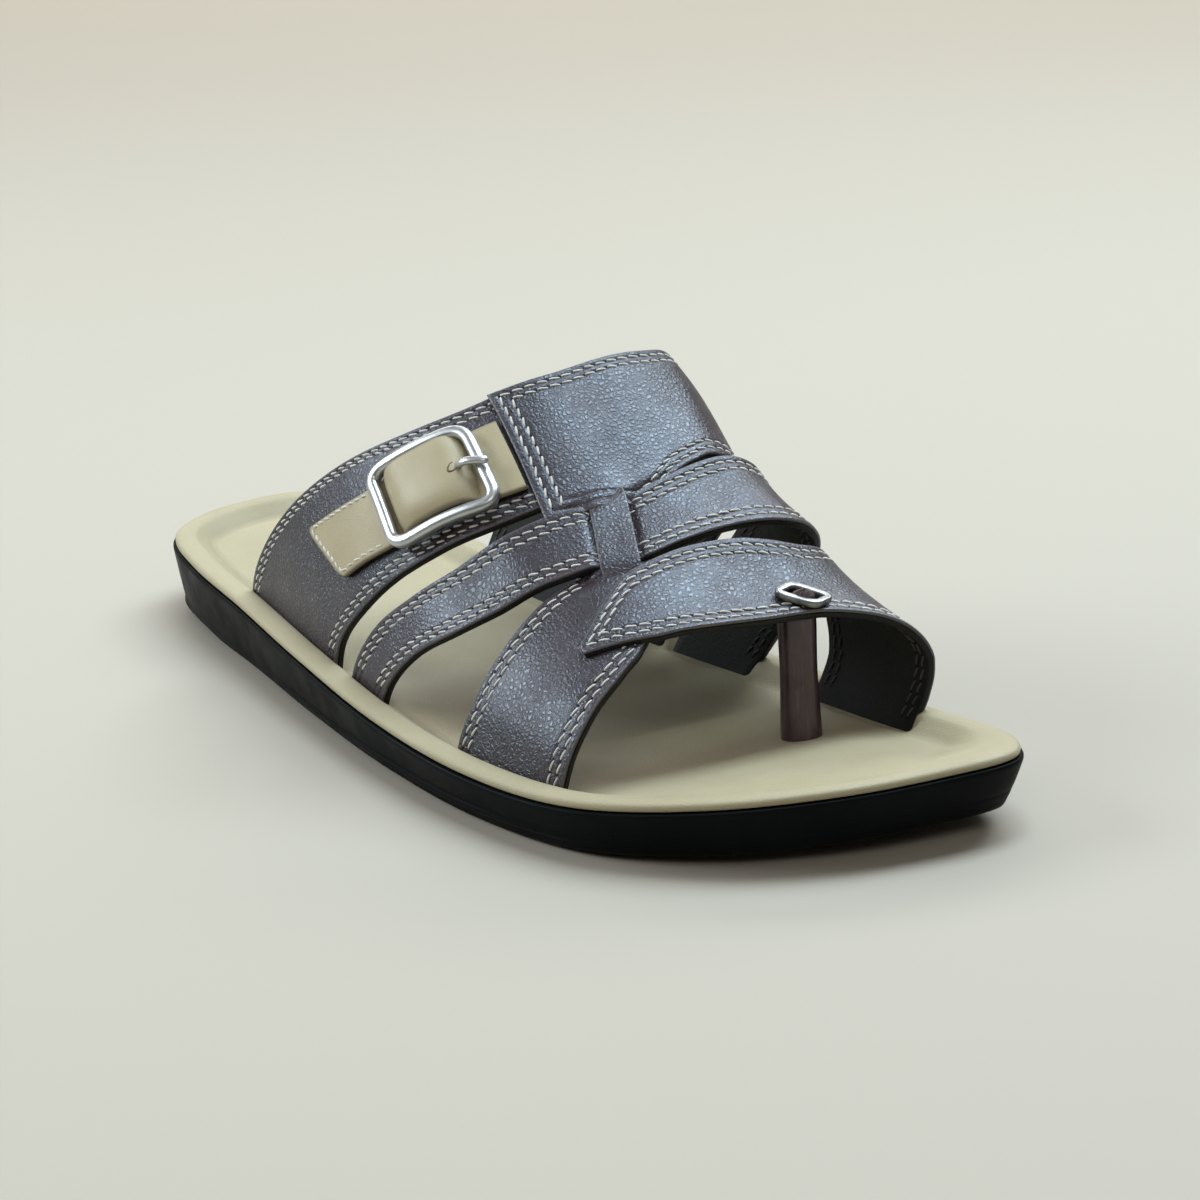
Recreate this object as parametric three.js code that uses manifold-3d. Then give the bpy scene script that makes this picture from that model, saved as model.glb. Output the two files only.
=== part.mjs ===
// Right leather toe-post slipper: moulded sole, padded footbed and a strapped upper with a buckle.
// Millimetres. +X points to the toe, +Y to the inner (medial) side, +Z up; the floor is z = 0.
import * as THREE from 'three';
import Module from 'manifold-3d';

const wasm = await Module();
wasm.setup();

// Moves the shoe so that the middle of its box lies over the origin
const frameShift = [1.26, 2.76, 0];

// Wall thicknesses and gaps
const fitGap = 0.3;
const leatherThick = 2.2;
const overlapLift = 1.6;
const buckleStrapThick = 1.7;

// Sole sizes
const ringPoints = 90;
const lengthToe = 140;
const toeSpring = 6;
const springStart = 42;
const archLift = 1.6;
const archBack = -62;
const archFront = 22;
const archInner = 40;
const archOuter = -15;
const treadHeight = 3;
const treadInset = 4.4;
const treadTopInset = 3.6;
const wallFootInset = 2.5;
const lipDrop = 2.3;
const lipRound = 0.7;
const shelfInset = 3.4;
const trayInset = 5.4;
const spineHeel = -102;
const spineToe = 88;
const capDraw = 0.88;

// Footbed sizes
const padThick = 5;
const dishDepth = 3.5;
const heelCup = 0.9;
const edgeInset = 0.7;
const heelCupDraw = 0.3;
const slotDepth = 3;
const rootInset = 9.7;
const rootSink = dishDepth + slotDepth;

// Rim of the footbed from its outer edge into the dish: distance in from the outline, height over its line
const rimProfile = [
  { inset: edgeInset, rise: -1 }, { inset: 1.6, rise: -0.1 }, { inset: 4, rise: 0.3 },
  { inset: 6.6, rise: -0.2 }, { inset: 8.6, rise: -1.6 }, { inset: 10.6, rise: -3 },
  { inset: 12.6, rise: -dishDepth },
];
const dishInset = rimProfile[rimProfile.length - 1].inset;

// Outline of the sole's top edge, from the middle of the heel round the outer side to the toe
const outline = [
  { x: -140, y: 2 }, { x: -137, y: -14 }, { x: -127, y: -28 }, { x: -103, y: -36 },
  { x: -70, y: -41.5 }, { x: -30, y: -48.5 }, { x: 12, y: -54 }, { x: 52, y: -55 },
  { x: 86, y: -48.5 }, { x: 111, y: -30 }, { x: 127, y: -6 }, { x: 135, y: 18 },
  { x: 137, y: 36 }, { x: 127, y: 45 }, { x: 100, y: 49 }, { x: 60, y: 49.5 },
  { x: 20, y: 44.5 }, { x: -20, y: 38.5 }, { x: -62, y: 36 }, { x: -106, y: 37.5 },
  { x: -128, y: 32 }, { x: -138, y: 18 },
];

// Height of the top edge above the floor
const rimRows = [
  { x: -140, z: 22.6 }, { x: -90, z: 20.6 }, { x: -30, z: 17.6 },
  { x: 30, z: 14.4 }, { x: 80, z: 14.4 }, { x: 140, z: 20.2 },
];

// Sections of the last: the crown, then how far each side stands up and out before it turns over
const lastRows = [
  { x: -70, crownY: 22, crownZ: 100, outRise: 0.34, outBow: 3.5, outTop: 36,
    inTop: 16, inBow: 14, inRise: 0.55 },
  { x: -44, crownY: 25, crownZ: 100, outRise: 0.38, outBow: 1.5, outTop: 37,
    inTop: 18, inBow: 18, inRise: 0.58 },
  { x: -16, crownY: 27, crownZ: 96, outRise: 0.42, outBow: 0.5, outTop: 36,
    inTop: 21, inBow: 21, inRise: 0.62 },
  { x: 8, crownY: 28, crownZ: 86, outRise: 0.38, outBow: -0.5, outTop: 36,
    inTop: 24, inBow: 20, inRise: 0.65 },
  { x: 40, crownY: 26, crownZ: 63, outRise: 0.42, outBow: 0, outTop: 37,
    inTop: 18, inBow: 14, inRise: 0.6 },
  { x: 60, crownY: 20, crownZ: 52.5, outRise: 0.49, outBow: 0.5, outTop: 36,
    inTop: 25, inBow: 13.5, inRise: 0.72 },
  { x: 76, crownY: 15, crownZ: 43, outRise: 0.58, outBow: 1, outTop: 36,
    inTop: 32, inBow: 12, inRise: 0.86 },
  { x: 100, crownY: 15, crownZ: 35, outRise: 0.64, outBow: 1, outTop: 34,
    inTop: 34, inBow: 9, inRise: 0.92 },
];

// Straps on the last: a row per station round it (t 0 outer root, 0.5 crown, 1 inner root),
// with the back edge, the front edge and the lift over what lies below
const buckleBandRows = [
  { t: 0, back: -76, front: -22, lift: 0 },
  { t: 0.05, back: -73.8, front: -19.2, lift: 0 },
  { t: 0.1, back: -67.2, front: -10.5, lift: 0 },
  { t: 0.15, back: -56.5, front: -1.4, lift: 0 },
  { t: 0.2, back: -41.2, front: 8.4, lift: 0 },
  { t: 0.26, back: -19.9, front: 19.1, lift: 0 },
  { t: 0.31, back: -8.2, front: 25.6, lift: 0 },
  { t: 0.37, back: 0.5, front: 31, lift: 0 },
];
const vampRows = [
  { t: 0.3, back: -10.5, front: 29.5, lift: overlapLift },
  { t: 0.34, back: -3.5, front: 33.8, lift: overlapLift },
  { t: 0.38, back: 1.5, front: 37.5, lift: 1.3 },
  { t: 0.42, back: 4.8, front: 41, lift: 0.4 },
  { t: 0.47, back: 6.7, front: 37.2, lift: 0 },
  { t: 0.53, back: 7.5, front: 35.2, lift: 0 },
  { t: 0.58, back: 6.2, front: 34.8, lift: 0 },
  { t: 0.64, back: 3, front: 34, lift: 0 },
  { t: 0.72, back: -9, front: 31, lift: 0 },
  { t: 0.82, back: -34, front: 24, lift: 0 },
  { t: 0.92, back: -53, front: 15, lift: 0 },
  { t: 1, back: -60, front: 10.5, lift: 0 },
];
const crossRows = [
  { t: 0, back: -13.5, front: 3, lift: 0 },
  { t: 0.05, back: -9.4, front: 6.6, lift: 0 },
  { t: 0.1, back: -2.6, front: 14.2, lift: 0 },
  { t: 0.15, back: 7, front: 24.6, lift: 0 },
  { t: 0.2, back: 16, front: 33, lift: 0 },
  { t: 0.26, back: 23.7, front: 40.6, lift: 0 },
  { t: 0.32, back: 30.2, front: 47.8, lift: 0 },
  { t: 0.38, back: 36.4, front: 53.6, lift: 0.1 },
  { t: 0.43, back: 37.9, front: 55.6, lift: 0.9 },
  { t: 0.5, back: 37.5, front: 56.9, lift: overlapLift },
  { t: 0.57, back: 37.2, front: 58, lift: 2.6 },
  { t: 0.64, back: 36.8, front: 58.6, lift: 3.2 },
  { t: 0.72, back: 34.2, front: 57.4, lift: 2.8 },
  { t: 0.82, back: 27.5, front: 52.6, lift: 1.4 },
  { t: 0.92, back: 19.5, front: 46, lift: 0 },
  { t: 1, back: 14.5, front: 39, lift: 0 },
];
const ballRows = [
  { t: 0, back: 39, front: 74, lift: 0 },
  { t: 0.05, back: 39.3, front: 75, lift: 0 },
  { t: 0.1, back: 40.6, front: 75.4, lift: 0 },
  { t: 0.15, back: 41.2, front: 75.6, lift: 0 },
  { t: 0.2, back: 42, front: 75.3, lift: 0 },
  { t: 0.245, back: 43, front: 75.1, lift: 0 },
  { t: 0.279, back: 44, front: 74.4, lift: 0 },
  { t: 0.31, back: 45.2, front: 73.4, lift: 0 },
  { t: 0.36, back: 48.5, front: 69, lift: 0 },
  { t: 0.39, back: 50.5, front: 65, lift: 0 },
];
const tabRows = [
  { t: 0.3, back: 33, front: 58, lift: 0 },
  { t: 0.42, back: 33, front: 58, lift: 0 },
];
const tabHump = { start: 34, rise: 40, fall: 51, end: 57.5, step: 0.15 };
const toeRows = [
  { t: 0.244, back: 62.4, front: 64.7, lift: overlapLift },
  { t: 0.265, back: 61.3, front: 66.9, lift: overlapLift },
  { t: 0.29, back: 59.5, front: 69.3, lift: overlapLift },
  { t: 0.32, back: 57.3, front: 72.1, lift: overlapLift },
  { t: 0.345, back: 56, front: 74.3, lift: overlapLift },
  { t: 0.37, back: 56.4, front: 76, lift: overlapLift },
  { t: 0.42, back: 57.4, front: 79.4, lift: 1.2 },
  { t: 0.48, back: 59.4, front: 82.6, lift: 0.8 },
  { t: 0.55, back: 62, front: 84.8, lift: 0.7 },
  { t: 0.61, back: 63.6, front: 87.9, lift: 0.6 },
  { t: 0.67, back: 62.8, front: 90.9, lift: 0.5 },
  { t: 0.72, back: 61, front: 93.8, lift: 0.4 },
  { t: 0.8, back: 59.2, front: 97.8, lift: 0.2 },
  { t: 0.84, back: 59.6, front: 98.4, lift: 0.08 },
  { t: 0.87, back: 61.2, front: 98.6, lift: 0 },
  { t: 0.9, back: 62.8, front: 98.4, lift: 0 },
  { t: 0.93, back: 63.6, front: 98, lift: 0 },
  { t: 1, back: 61.5, front: 96, lift: 0 },
];
const buckleStrapRows = [
  { t: 0.11, back: -51, front: -20.3, lift: 0 },
  { t: 0.14, back: -41.3, front: -12.6, lift: 0 },
  { t: 0.17, back: -30.3, front: -5, lift: 0 },
  { t: 0.2, back: -19.8, front: 1.2, lift: 0 },
  { t: 0.25, back: -8.2, front: 10.5, lift: 0 },
  { t: 0.29, back: -1.9, front: 18, lift: 0 },
  { t: 0.34, back: 5, front: 24.2, lift: 0 },
];

// Cut ends of straps, as the t of the back corner and of the front corner
const vampEnds = { startBack: 0.342, startFront: 0.308, endBack: 1, endFront: 1 };
const tabEnds = { startBack: 0.358, startFront: 0.313, endBack: 0.404, endFront: 0.368 };
const buckleStrapEnds = { startBack: 0.139, startFront: 0.113, endBack: 0.33, endFront: 0.313 };

// Buckle, toe post and ring sizes
const strapBulge = 4;
const bulgeBack = 0.258;
const bulgeFront = 0.229;
const bulgeReach = 0.035;
const bulgeDrop = 0.18;
const bulgeNarrow = 0.2;
const bulgeFull = 0.75;
const frameCorners = [
  { x: -18.6, t: 0.213 }, { x: -0.4, t: 0.178 }, { x: 19.2, t: 0.281 }, { x: -0.8, t: 0.302 },
];
const frameRound = 0.19;
const frameHalfWide = 1.6;
const frameHalfHigh = 1.5;
const prongRadius = 1;
const prongHalfHigh = 0.8;
const prongRows = [
  { s: 0, x: 5, t: 0.2735, lift: 6.7 },
  { s: 0.3, x: 7.2, t: 0.281, lift: 8.5 },
  { s: 0.7, x: 10.2, t: 0.292, lift: 9.1 },
  { s: 1, x: 11.9, t: 0.299, lift: 8.7 },
];
const postBase = { x: 81.5, y: 20.5 };
const postTop = { x: 79.5, y: 21 };
const postRadius = 4.5;
const postFlare = 0.5;
const ringCorners = [
  { x: 77.1, t: 0.506 }, { x: 76, t: 0.537 }, { x: 82.3, t: 0.573 }, { x: 83.5, t: 0.537 },
];
const ringRound = 0.32;
const ringRadius = 1;
const headScale = 0.47;
const headHigh = 2.4;
const headFoot = 0.4;
const headShares = [1, 0.96, 0.82, 0.6, 0.3];

// Smooth curve through one column of a table, read at one value of its leading column
function smooth(rows, along, key, at) {
  const last = rows.length - 1;
  let i = 0;
  while (i < last - 1 && rows[i + 1][along] < at) {
    i += 1;
  }
  const slope = (k) => {
    const a = rows[Math.max(k - 1, 0)];
    const b = rows[Math.min(k + 1, last)];
    return (b[key] - a[key]) / (b[along] - a[along]);
  };
  const span = rows[i + 1][along] - rows[i][along];
  const s = THREE.MathUtils.clamp((at - rows[i][along]) / span, 0, 1);
  const s2 = s * s;
  const s3 = s2 * s;
  const from = (2 * s3 - 3 * s2 + 1) * rows[i][key] + (s3 - 2 * s2 + s) * span * slope(i);
  const to = (3 * s2 - 2 * s3) * rows[i + 1][key] + (s3 - s2) * span * slope(i + 1);
  return from + to;
}

const mix = THREE.MathUtils.lerp;
const ease = (v, from, to) => THREE.MathUtils.smoothstep(v, from, to);
const rimZ = (x) => smooth(rimRows, 'x', 'z', x);

// Even points round the closed outline
function outlinePoints(count) {
  const total = outline.length;
  const rows = [];
  let chord = 0;
  for (let i = -2; i <= total + 2; i += 1) {
    const p = outline[(i + total) % total];
    const before = rows[rows.length - 1];
    if (before) {
      chord += Math.hypot(p.x - before.x, p.y - before.y);
    }
    rows.push({ x: p.x, y: p.y, s: chord });
  }
  const start = rows[2].s;
  const end = rows[2 + total].s;
  const points = [];
  for (let i = 0; i < count; i += 1) {
    const s = mix(start, end, i / count);
    points.push(new THREE.Vector2(smooth(rows, 's', 'x', s), smooth(rows, 's', 'y', s)));
  }
  return points;
}

const edge = outlinePoints(ringPoints);

// The outline moved inward
function insetPoints(inset) {
  return edge.map((p, i) => {
    const before = edge[(i + ringPoints - 1) % ringPoints];
    const after = edge[(i + 1) % ringPoints];
    const run = after.clone().sub(before).normalize();
    return new THREE.Vector2(p.x - run.y * inset, p.y + run.x * inset);
  });
}

// Where the outline's outer side (-1) or inner side (+1) lies at one x
function sideY(x, side) {
  let best = 0;
  for (let i = 0; i < ringPoints; i += 1) {
    const a = edge[i];
    const b = edge[(i + 1) % ringPoints];
    const outerRun = b.x > a.x;
    if (outerRun === (side < 0) && (a.x - x) * (b.x - x) <= 0 && a.x !== b.x) {
      best = mix(a.y, b.y, (x - a.x) / (b.x - a.x));
    }
  }
  return best;
}

// Underside height: flat under heel and ball, sprung at the toe, lifted a little under the arch
function baseZ(x, y) {
  const spring = toeSpring * Math.max(0, (x - springStart) / (lengthToe - springStart)) ** 2;
  const along = THREE.MathUtils.clamp((x - archBack) / (archFront - archBack), 0, 1);
  const arch = archLift * Math.sin(Math.PI * along) ** 2 * ease(y, archOuter, archInner);
  return spring + arch;
}

// A point of the last at x and t, and the point a distance above it
function lastPoint(x, t) {
  const at = (key) => smooth(lastRows, 'x', key, x);
  const rootZ = rimZ(x) - rootSink;
  const crown = [at('crownY'), at('crownZ')];
  const rise = crown[1] - rootZ;
  let p;
  if (t <= 0.5) {
    const y = sideY(x, -1) + rootInset;
    const flank = [y - at('outBow'), rootZ + at('outRise') * rise];
    p = [[y, rootZ], flank, [crown[0] - at('outTop'), crown[1]], crown];
  } else {
    const y = sideY(x, 1) - rootInset;
    const flank = [y + at('inBow'), rootZ + at('inRise') * rise];
    p = [crown, [crown[0] + at('inTop'), crown[1]], flank, [y, rootZ]];
  }
  const s = t <= 0.5 ? 2 * t : 2 * t - 1;
  const w = [(1 - s) ** 3, 3 * s * (1 - s) ** 2, 3 * s * s * (1 - s), s ** 3];
  const sum = (k) => w.reduce((total, weight, i) => total + weight * p[i][k], 0);
  return new THREE.Vector3(x, sum(0), sum(1));
}

const stepX = 0.5;
const stepT = 0.004;

function lastNormal(x, t) {
  const alongX = lastPoint(x + stepX, t).sub(lastPoint(x - stepX, t));
  const alongT = lastPoint(x, Math.min(t + stepT, 1)).sub(lastPoint(x, Math.max(t - stepT, 0)));
  return alongX.cross(alongT).normalize();
}

const above = (x, t, lift) => lastPoint(x, t).addScaledVector(lastNormal(x, t), lift);

// Closed mesh from rows of points that wrap round, with both end rows filled in flat
function tube(rows) {
  const wide = rows[0].length;
  const points = rows.flat();
  const faces = [];
  for (let i = 0; i + 1 < rows.length; i += 1) {
    for (let j = 0; j < wide; j += 1) {
      const a = i * wide + j;
      const b = i * wide + (j + 1) % wide;
      faces.push([a, b, b + wide], [a, b + wide, a + wide]);
    }
  }
  const fill = (row, start, flip, plane) => {
    const flat = row.map((p) => new THREE.Vector2(p.dot(plane[0]), p.dot(plane[1])));
    const clockwise = THREE.ShapeUtils.isClockWise(flat);
    THREE.ShapeUtils.triangulateShape(flat, []).forEach(([a, b, c]) => {
      const face = [start + a, start + b, start + c];
      faces.push(flip !== clockwise ? face.reverse() : face);
    });
  };
  const plane = (row) => {
    const centre = row.reduce((sum, p) => sum.add(p), new THREE.Vector3()).divideScalar(wide);
    const u = row[0].clone().sub(centre).normalize();
    const side = row[Math.round(wide / 4)].clone().sub(centre);
    return [u, side.addScaledVector(u, -side.dot(u)).normalize()];
  };
  const lastRow = rows.length - 1;
  fill(rows[0], 0, true, plane(rows[0]));
  fill(rows[lastRow], lastRow * wide, false, plane(rows[lastRow]));
  return { points, faces };
}

// Turns points and faces into a solid, outside out
function solid({ points, faces }) {
  const vertProperties = new Float32Array(points.flatMap((p) => [p.x, p.y, p.z]));
  const volume = faces.reduce((sum, [a, b, c]) => {
    return sum + points[a].dot(points[b].clone().cross(points[c]));
  }, 0);
  const outward = volume < 0 ? faces.map(([a, b, c]) => [a, c, b]) : faces;
  const mesh = new wasm.Mesh({ numProp: 3, vertProperties, triVerts: new Uint32Array(outward.flat()) });
  mesh.merge();
  return new wasm.Manifold(mesh);
}

// Stacks rings of the outline, each given by how far in it lies and its height rule
function ringStack(levels) {
  const spineY = (x) => (sideY(x, -1) + sideY(x, 1)) / 2;
  return levels.map(({ inset, draw, height }) => insetPoints(inset).map((p) => {
    const spineX = THREE.MathUtils.clamp(p.x, spineHeel, spineToe);
    const x = mix(p.x, spineX, draw ?? 0);
    const y = mix(p.y, spineY(spineX), draw ?? 0);
    return new THREE.Vector3(x, y, height(x, y));
  }));
}

function outsoleSolid() {
  const under = (x, y) => baseZ(x, y);
  const step = (x, y) => baseZ(x, y) + treadHeight;
  const lip = (x) => rimZ(x) - lipDrop;
  const tray = (x) => rimZ(x) - dishDepth - padThick - fitGap;
  return solid(tube(ringStack([
    { inset: treadInset, draw: capDraw, height: under },
    { inset: treadInset, height: under },
    { inset: treadTopInset, height: step },
    { inset: wallFootInset, height: step },
    { inset: 0, height: (x) => lip(x) - lipRound },
    { inset: lipRound / 7, height: (x) => lip(x) - lipRound / 4 },
    { inset: lipRound, height: lip },
    { inset: shelfInset, height: lip },
    { inset: trayInset, height: tray },
    { inset: trayInset, draw: capDraw, height: tray },
  ])));
}

function footbedSolid() {
  const shelf = (x) => rimZ(x) - lipDrop + fitGap;
  const bottom = (x) => rimZ(x) - dishDepth - padThick;
  const dish = (x) => rimZ(x) - dishDepth;
  const padInset = trayInset + 2 * fitGap;
  return solid(tube(ringStack([
    { inset: padInset, draw: capDraw, height: bottom },
    { inset: padInset, height: bottom },
    { inset: shelfInset + 2 * fitGap, height: shelf },
    { inset: edgeInset + fitGap, height: shelf },
    ...rimProfile.map(({ inset, rise }) => ({ inset, height: (x) => rimZ(x) + rise })),
    { inset: dishInset, draw: heelCupDraw, height: (x) => dish(x) - heelCup / 2 },
    { inset: dishInset, draw: capDraw, height: (x) => dish(x) - heelCup },
  ])));
}

// A strap as a slab on the last, with its own thickness and lift
function strapSolid({ rows, ends, long, wide, lift, thick, grow = 0, drop = 0 }) {
  const span = ends ?? {
    startBack: rows[0].t, startFront: rows[0].t,
    endBack: rows[rows.length - 1].t, endFront: rows[rows.length - 1].t,
  };
  const at = (i, j) => {
    const w = j / wide;
    const start = mix(span.startBack, span.startFront, w);
    const end = mix(span.endBack, span.endFront, w);
    const t = mix(start, end, i / long);
    const x = mix(smooth(rows, 't', 'back', t) - grow, smooth(rows, 't', 'front', t) + grow, w);
    const base = smooth(rows, 't', 'lift', t) + (lift ? lift(x, t, w) : 0);
    const sunk = (t <= 0 || t >= 1) ? drop : 0;
    const low = above(x, t, base - grow);
    const high = above(x, t, base + thick + grow);
    low.z -= sunk;
    high.z -= sunk;
    return { low, high };
  };
  const loops = [];
  for (let i = 0; i <= long; i += 1) {
    const grid = [];
    for (let j = 0; j <= wide; j += 1) {
      grid.push(at(i, j));
    }
    loops.push([...grid.map((g) => g.high), ...grid.map((g) => g.low).reverse()]);
  }
  return solid(stripTube(loops, wide));
}

// Like tube, with the end faces filled by strips across the slab
function stripTube(loops, wide) {
  const round = 2 * (wide + 1);
  const points = loops.flat();
  const faces = [];
  for (let i = 0; i + 1 < loops.length; i += 1) {
    for (let j = 0; j < round; j += 1) {
      const a = i * round + j;
      const b = i * round + (j + 1) % round;
      faces.push([a, b, b + round], [a, b + round, a + round]);
    }
  }
  for (let j = 0; j < wide; j += 1) {
    const far = (loops.length - 1) * round;
    const [a, b, c, d] = [j, j + 1, round - 2 - j, round - 1 - j];
    faces.push([a, c, b], [a, d, c]);
    faces.push([far + a, far + b, far + c], [far + a, far + c, far + d]);
  }
  return { points, faces };
}

// The tab rises off the vamp, crosses the strap below it and comes down on the ball strap
const tabLift = (x, t) => {
  const up = mix(smooth(vampRows, 't', 'lift', t), overlapLift, ease(x, tabHump.start, tabHump.rise));
  return tabHump.step + up * (1 - ease(x, tabHump.fall, tabHump.end));
};

const strapParts = [
  { rows: buckleBandRows, long: 20, wide: 7, thick: leatherThick },
  { rows: vampRows, ends: vampEnds, long: 28, wide: 7, thick: leatherThick },
  { rows: crossRows, long: 42, wide: 4, thick: leatherThick },
  { rows: ballRows, long: 18, wide: 6, thick: leatherThick },
  { rows: tabRows, ends: tabEnds, long: 4, wide: 10, thick: leatherThick, lift: tabLift },
  { rows: toeRows, long: 34, wide: 5, thick: leatherThick },
];

// Slots in the footbed for the strap roots, a gap wider than the straps all round
const slotReach = 0.1;
const slotDrop = 0.4;
const rootParts = [
  { rows: buckleBandRows, outer: true }, { rows: crossRows, outer: true },
  { rows: ballRows, outer: true }, { rows: vampRows, outer: false },
  { rows: crossRows, outer: false }, { rows: toeRows, outer: false },
];

function slotSolid({ rows, outer }) {
  const from = outer ? 0 : 1 - slotReach;
  const to = outer ? slotReach : 1;
  const ends = { startBack: from, startFront: from, endBack: to, endFront: to };
  return strapSolid({ rows, ends, long: 3, wide: 5, thick: leatherThick, grow: fitGap, drop: slotDrop });
}

// The buckle strap lies on the band and swells inside the buckle
const strapBase = leatherThick + fitGap;
const buckleStrapLift = (x, t, w) => {
  const middle = mix(bulgeBack, bulgeFront, w);
  const reach = bulgeReach * (1 - bulgeNarrow * (2 * w - 1) ** 4);
  const along = Math.max(0, 1 - ((t - middle) / reach) ** 2);
  const across = 1 - bulgeDrop * (2 * w - 1) ** 6;
  return strapBase + strapBulge * along ** bulgeFull * across;
};

// Closed path through four corners of the last, each rounded by a share of its sides
function roundedPath(corners, share, perCorner, perSide) {
  const path = [];
  corners.forEach((c, i) => {
    const before = corners[(i + corners.length - 1) % corners.length];
    const after = corners[(i + 1) % corners.length];
    const toward = (a, b, s) => ({ x: mix(a.x, b.x, s), t: mix(a.t, b.t, s) });
    const start = toward(c, before, share);
    const end = toward(c, after, share);
    for (let k = 0; k <= perCorner; k += 1) {
      const s = k / perCorner;
      path.push(toward(toward(start, c, s), toward(c, end, s), s));
    }
    const next = toward(after, c, share);
    for (let k = 1; k < perSide; k += 1) {
      path.push(toward(end, next, k / perSide));
    }
  });
  return path;
}

// Sweeps an oval section along points of the last; a closed sweep joins its ends
function sweep(path, halfWide, halfHigh, around, closed) {
  const centre = path.map((p) => above(p.x, p.t, p.lift));
  const count = path.length;
  const rows = path.map((p, i) => {
    const before = centre[closed ? (i + count - 1) % count : Math.max(i - 1, 0)];
    const after = centre[closed ? (i + 1) % count : Math.min(i + 1, count - 1)];
    const run = after.clone().sub(before).normalize();
    const up = lastNormal(p.x, p.t);
    up.addScaledVector(run, -up.dot(run)).normalize();
    const side = run.clone().cross(up);
    const row = [];
    for (let k = 0; k < around; k += 1) {
      const angle = 2 * Math.PI * k / around;
      const point = centre[i].clone().addScaledVector(side, halfWide * Math.cos(angle));
      row.push(point.addScaledVector(up, halfHigh * Math.sin(angle)));
    }
    return row;
  });
  if (!closed) {
    return solid(tube(rows));
  }
  const points = rows.flat();
  const faces = [];
  for (let i = 0; i < count; i += 1) {
    const next = ((i + 1) % count) * around;
    for (let k = 0; k < around; k += 1) {
      const far = (k + 1) % around;
      faces.push([i * around + k, next + far, i * around + far], [i * around + k, next + k, next + far]);
    }
  }
  return solid({ points, faces });
}

function frameSolid() {
  const lift = strapBase + buckleStrapThick + fitGap + frameHalfHigh;
  const path = roundedPath(frameCorners, frameRound, 6, 4).map((p) => ({ ...p, lift }));
  return sweep(path, frameHalfWide, frameHalfHigh, 8, true);
}

function prongSolid() {
  const path = [];
  const steps = 10;
  for (let i = 0; i <= steps; i += 1) {
    const read = (key) => smooth(prongRows, 's', key, i / steps);
    path.push({ x: read('x'), t: read('t'), lift: read('lift') });
  }
  return sweep(path, prongRadius, prongHalfHigh, 8, false);
}

// The toe strap's lift at t, and the t where the last reaches one y
const toeLift = (t) => smooth(toeRows, 't', 'lift', t);

function tAtY(x, y) {
  let low = 0.3;
  let high = 0.7;
  for (let i = 0; i < 30; i += 1) {
    const middle = (low + high) / 2;
    if (lastPoint(x, middle).y < y) {
      low = middle;
    } else {
      high = middle;
    }
  }
  return low;
}

// Leather tube from the footbed up to the underside of the toe strap
function postSolid() {
  const around = 20;
  const levels = 7;
  const rows = [];
  for (let i = 0; i <= levels; i += 1) {
    const s = i / levels;
    const radius = postRadius + postFlare * (1 - s) ** 4;
    const row = [];
    for (let k = 0; k < around; k += 1) {
      const angle = 2 * Math.PI * k / around;
      const x = mix(postBase.x, postTop.x, s) + radius * Math.cos(angle);
      const y = mix(postBase.y, postTop.y, s) + radius * Math.sin(angle);
      const foot = rimZ(x) - dishDepth + fitGap;
      const t = tAtY(x, y);
      const head = lastPoint(x, t).z + toeLift(t) - 2 * fitGap;
      row.push(new THREE.Vector3(x, y, mix(foot, head, s)));
    }
    rows.push(row);
  }
  return solid(tube(rows));
}

const ringBase = (t) => toeLift(t) + leatherThick + fitGap;

function ringSolid() {
  const corners = roundedPath(ringCorners, ringRound, 5, 3);
  const path = corners.map((p) => ({ ...p, lift: ringBase(p.t) + ringRadius }));
  return sweep(path, ringRadius, ringRadius, 8, true);
}

// Domed leather end of the post inside the ring
function headSolid() {
  const path = roundedPath(ringCorners, ringRound, 4, 2);
  const mean = (key) => path.reduce((sum, p) => sum + p[key] / path.length, 0);
  const middle = { x: mean('x'), t: mean('t') };
  const ring = (share, lift) => path.map((p) => {
    const x = mix(middle.x, p.x, headScale * share);
    const t = mix(middle.t, p.t, headScale * share);
    return above(x, t, ringBase(t) + lift);
  });
  const dome = headShares.map((share) => ring(share, headFoot + headHigh * Math.sqrt(1 - share * share)));
  return solid(tube([ring(1, 0), ...dome]));
}

const finishes = {
  rubber: new THREE.MeshStandardMaterial({ name: 'black_sole', color: 0x1c1e20, roughness: 0.5 }),
  footbed: new THREE.MeshStandardMaterial({ name: 'beige_footbed', color: 0xcbbd9c, roughness: 0.6 }),
  leather: new THREE.MeshStandardMaterial({ name: 'brown_leather', color: 0x3d3538, roughness: 0.45 }),
  tan: new THREE.MeshStandardMaterial({ name: 'tan_leather', color: 0xb6a47c, roughness: 0.55 }),
  steel: new THREE.MeshStandardMaterial({
    name: 'bright_steel', color: 0xd2d4d6, roughness: 0.15, metalness: 1,
  }),
};

const group = new THREE.Group();
group.name = 'leather_toe_post_slipper';

function addNode(name, body, material) {
  const data = body.translate(frameShift).getMesh();
  const geometry = new THREE.BufferGeometry();
  geometry.setAttribute('position', new THREE.BufferAttribute(new Float32Array(data.vertProperties), 3));
  geometry.setIndex(new THREE.BufferAttribute(new Uint32Array(data.triVerts), 1));
  geometry.computeVertexNormals();
  const mesh = new THREE.Mesh(geometry, material);
  mesh.name = name;
  group.add(mesh);
}

const upper = strapParts.map(strapSolid).reduce((sum, part) => sum.add(part));
const footbed = rootParts.map(slotSolid).reduce((sum, slot) => sum.subtract(slot), footbedSolid());
const buckleStrap = strapSolid({
  rows: buckleStrapRows, ends: buckleStrapEnds, long: 18, wide: 6,
  thick: buckleStrapThick, lift: buckleStrapLift,
});

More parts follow.
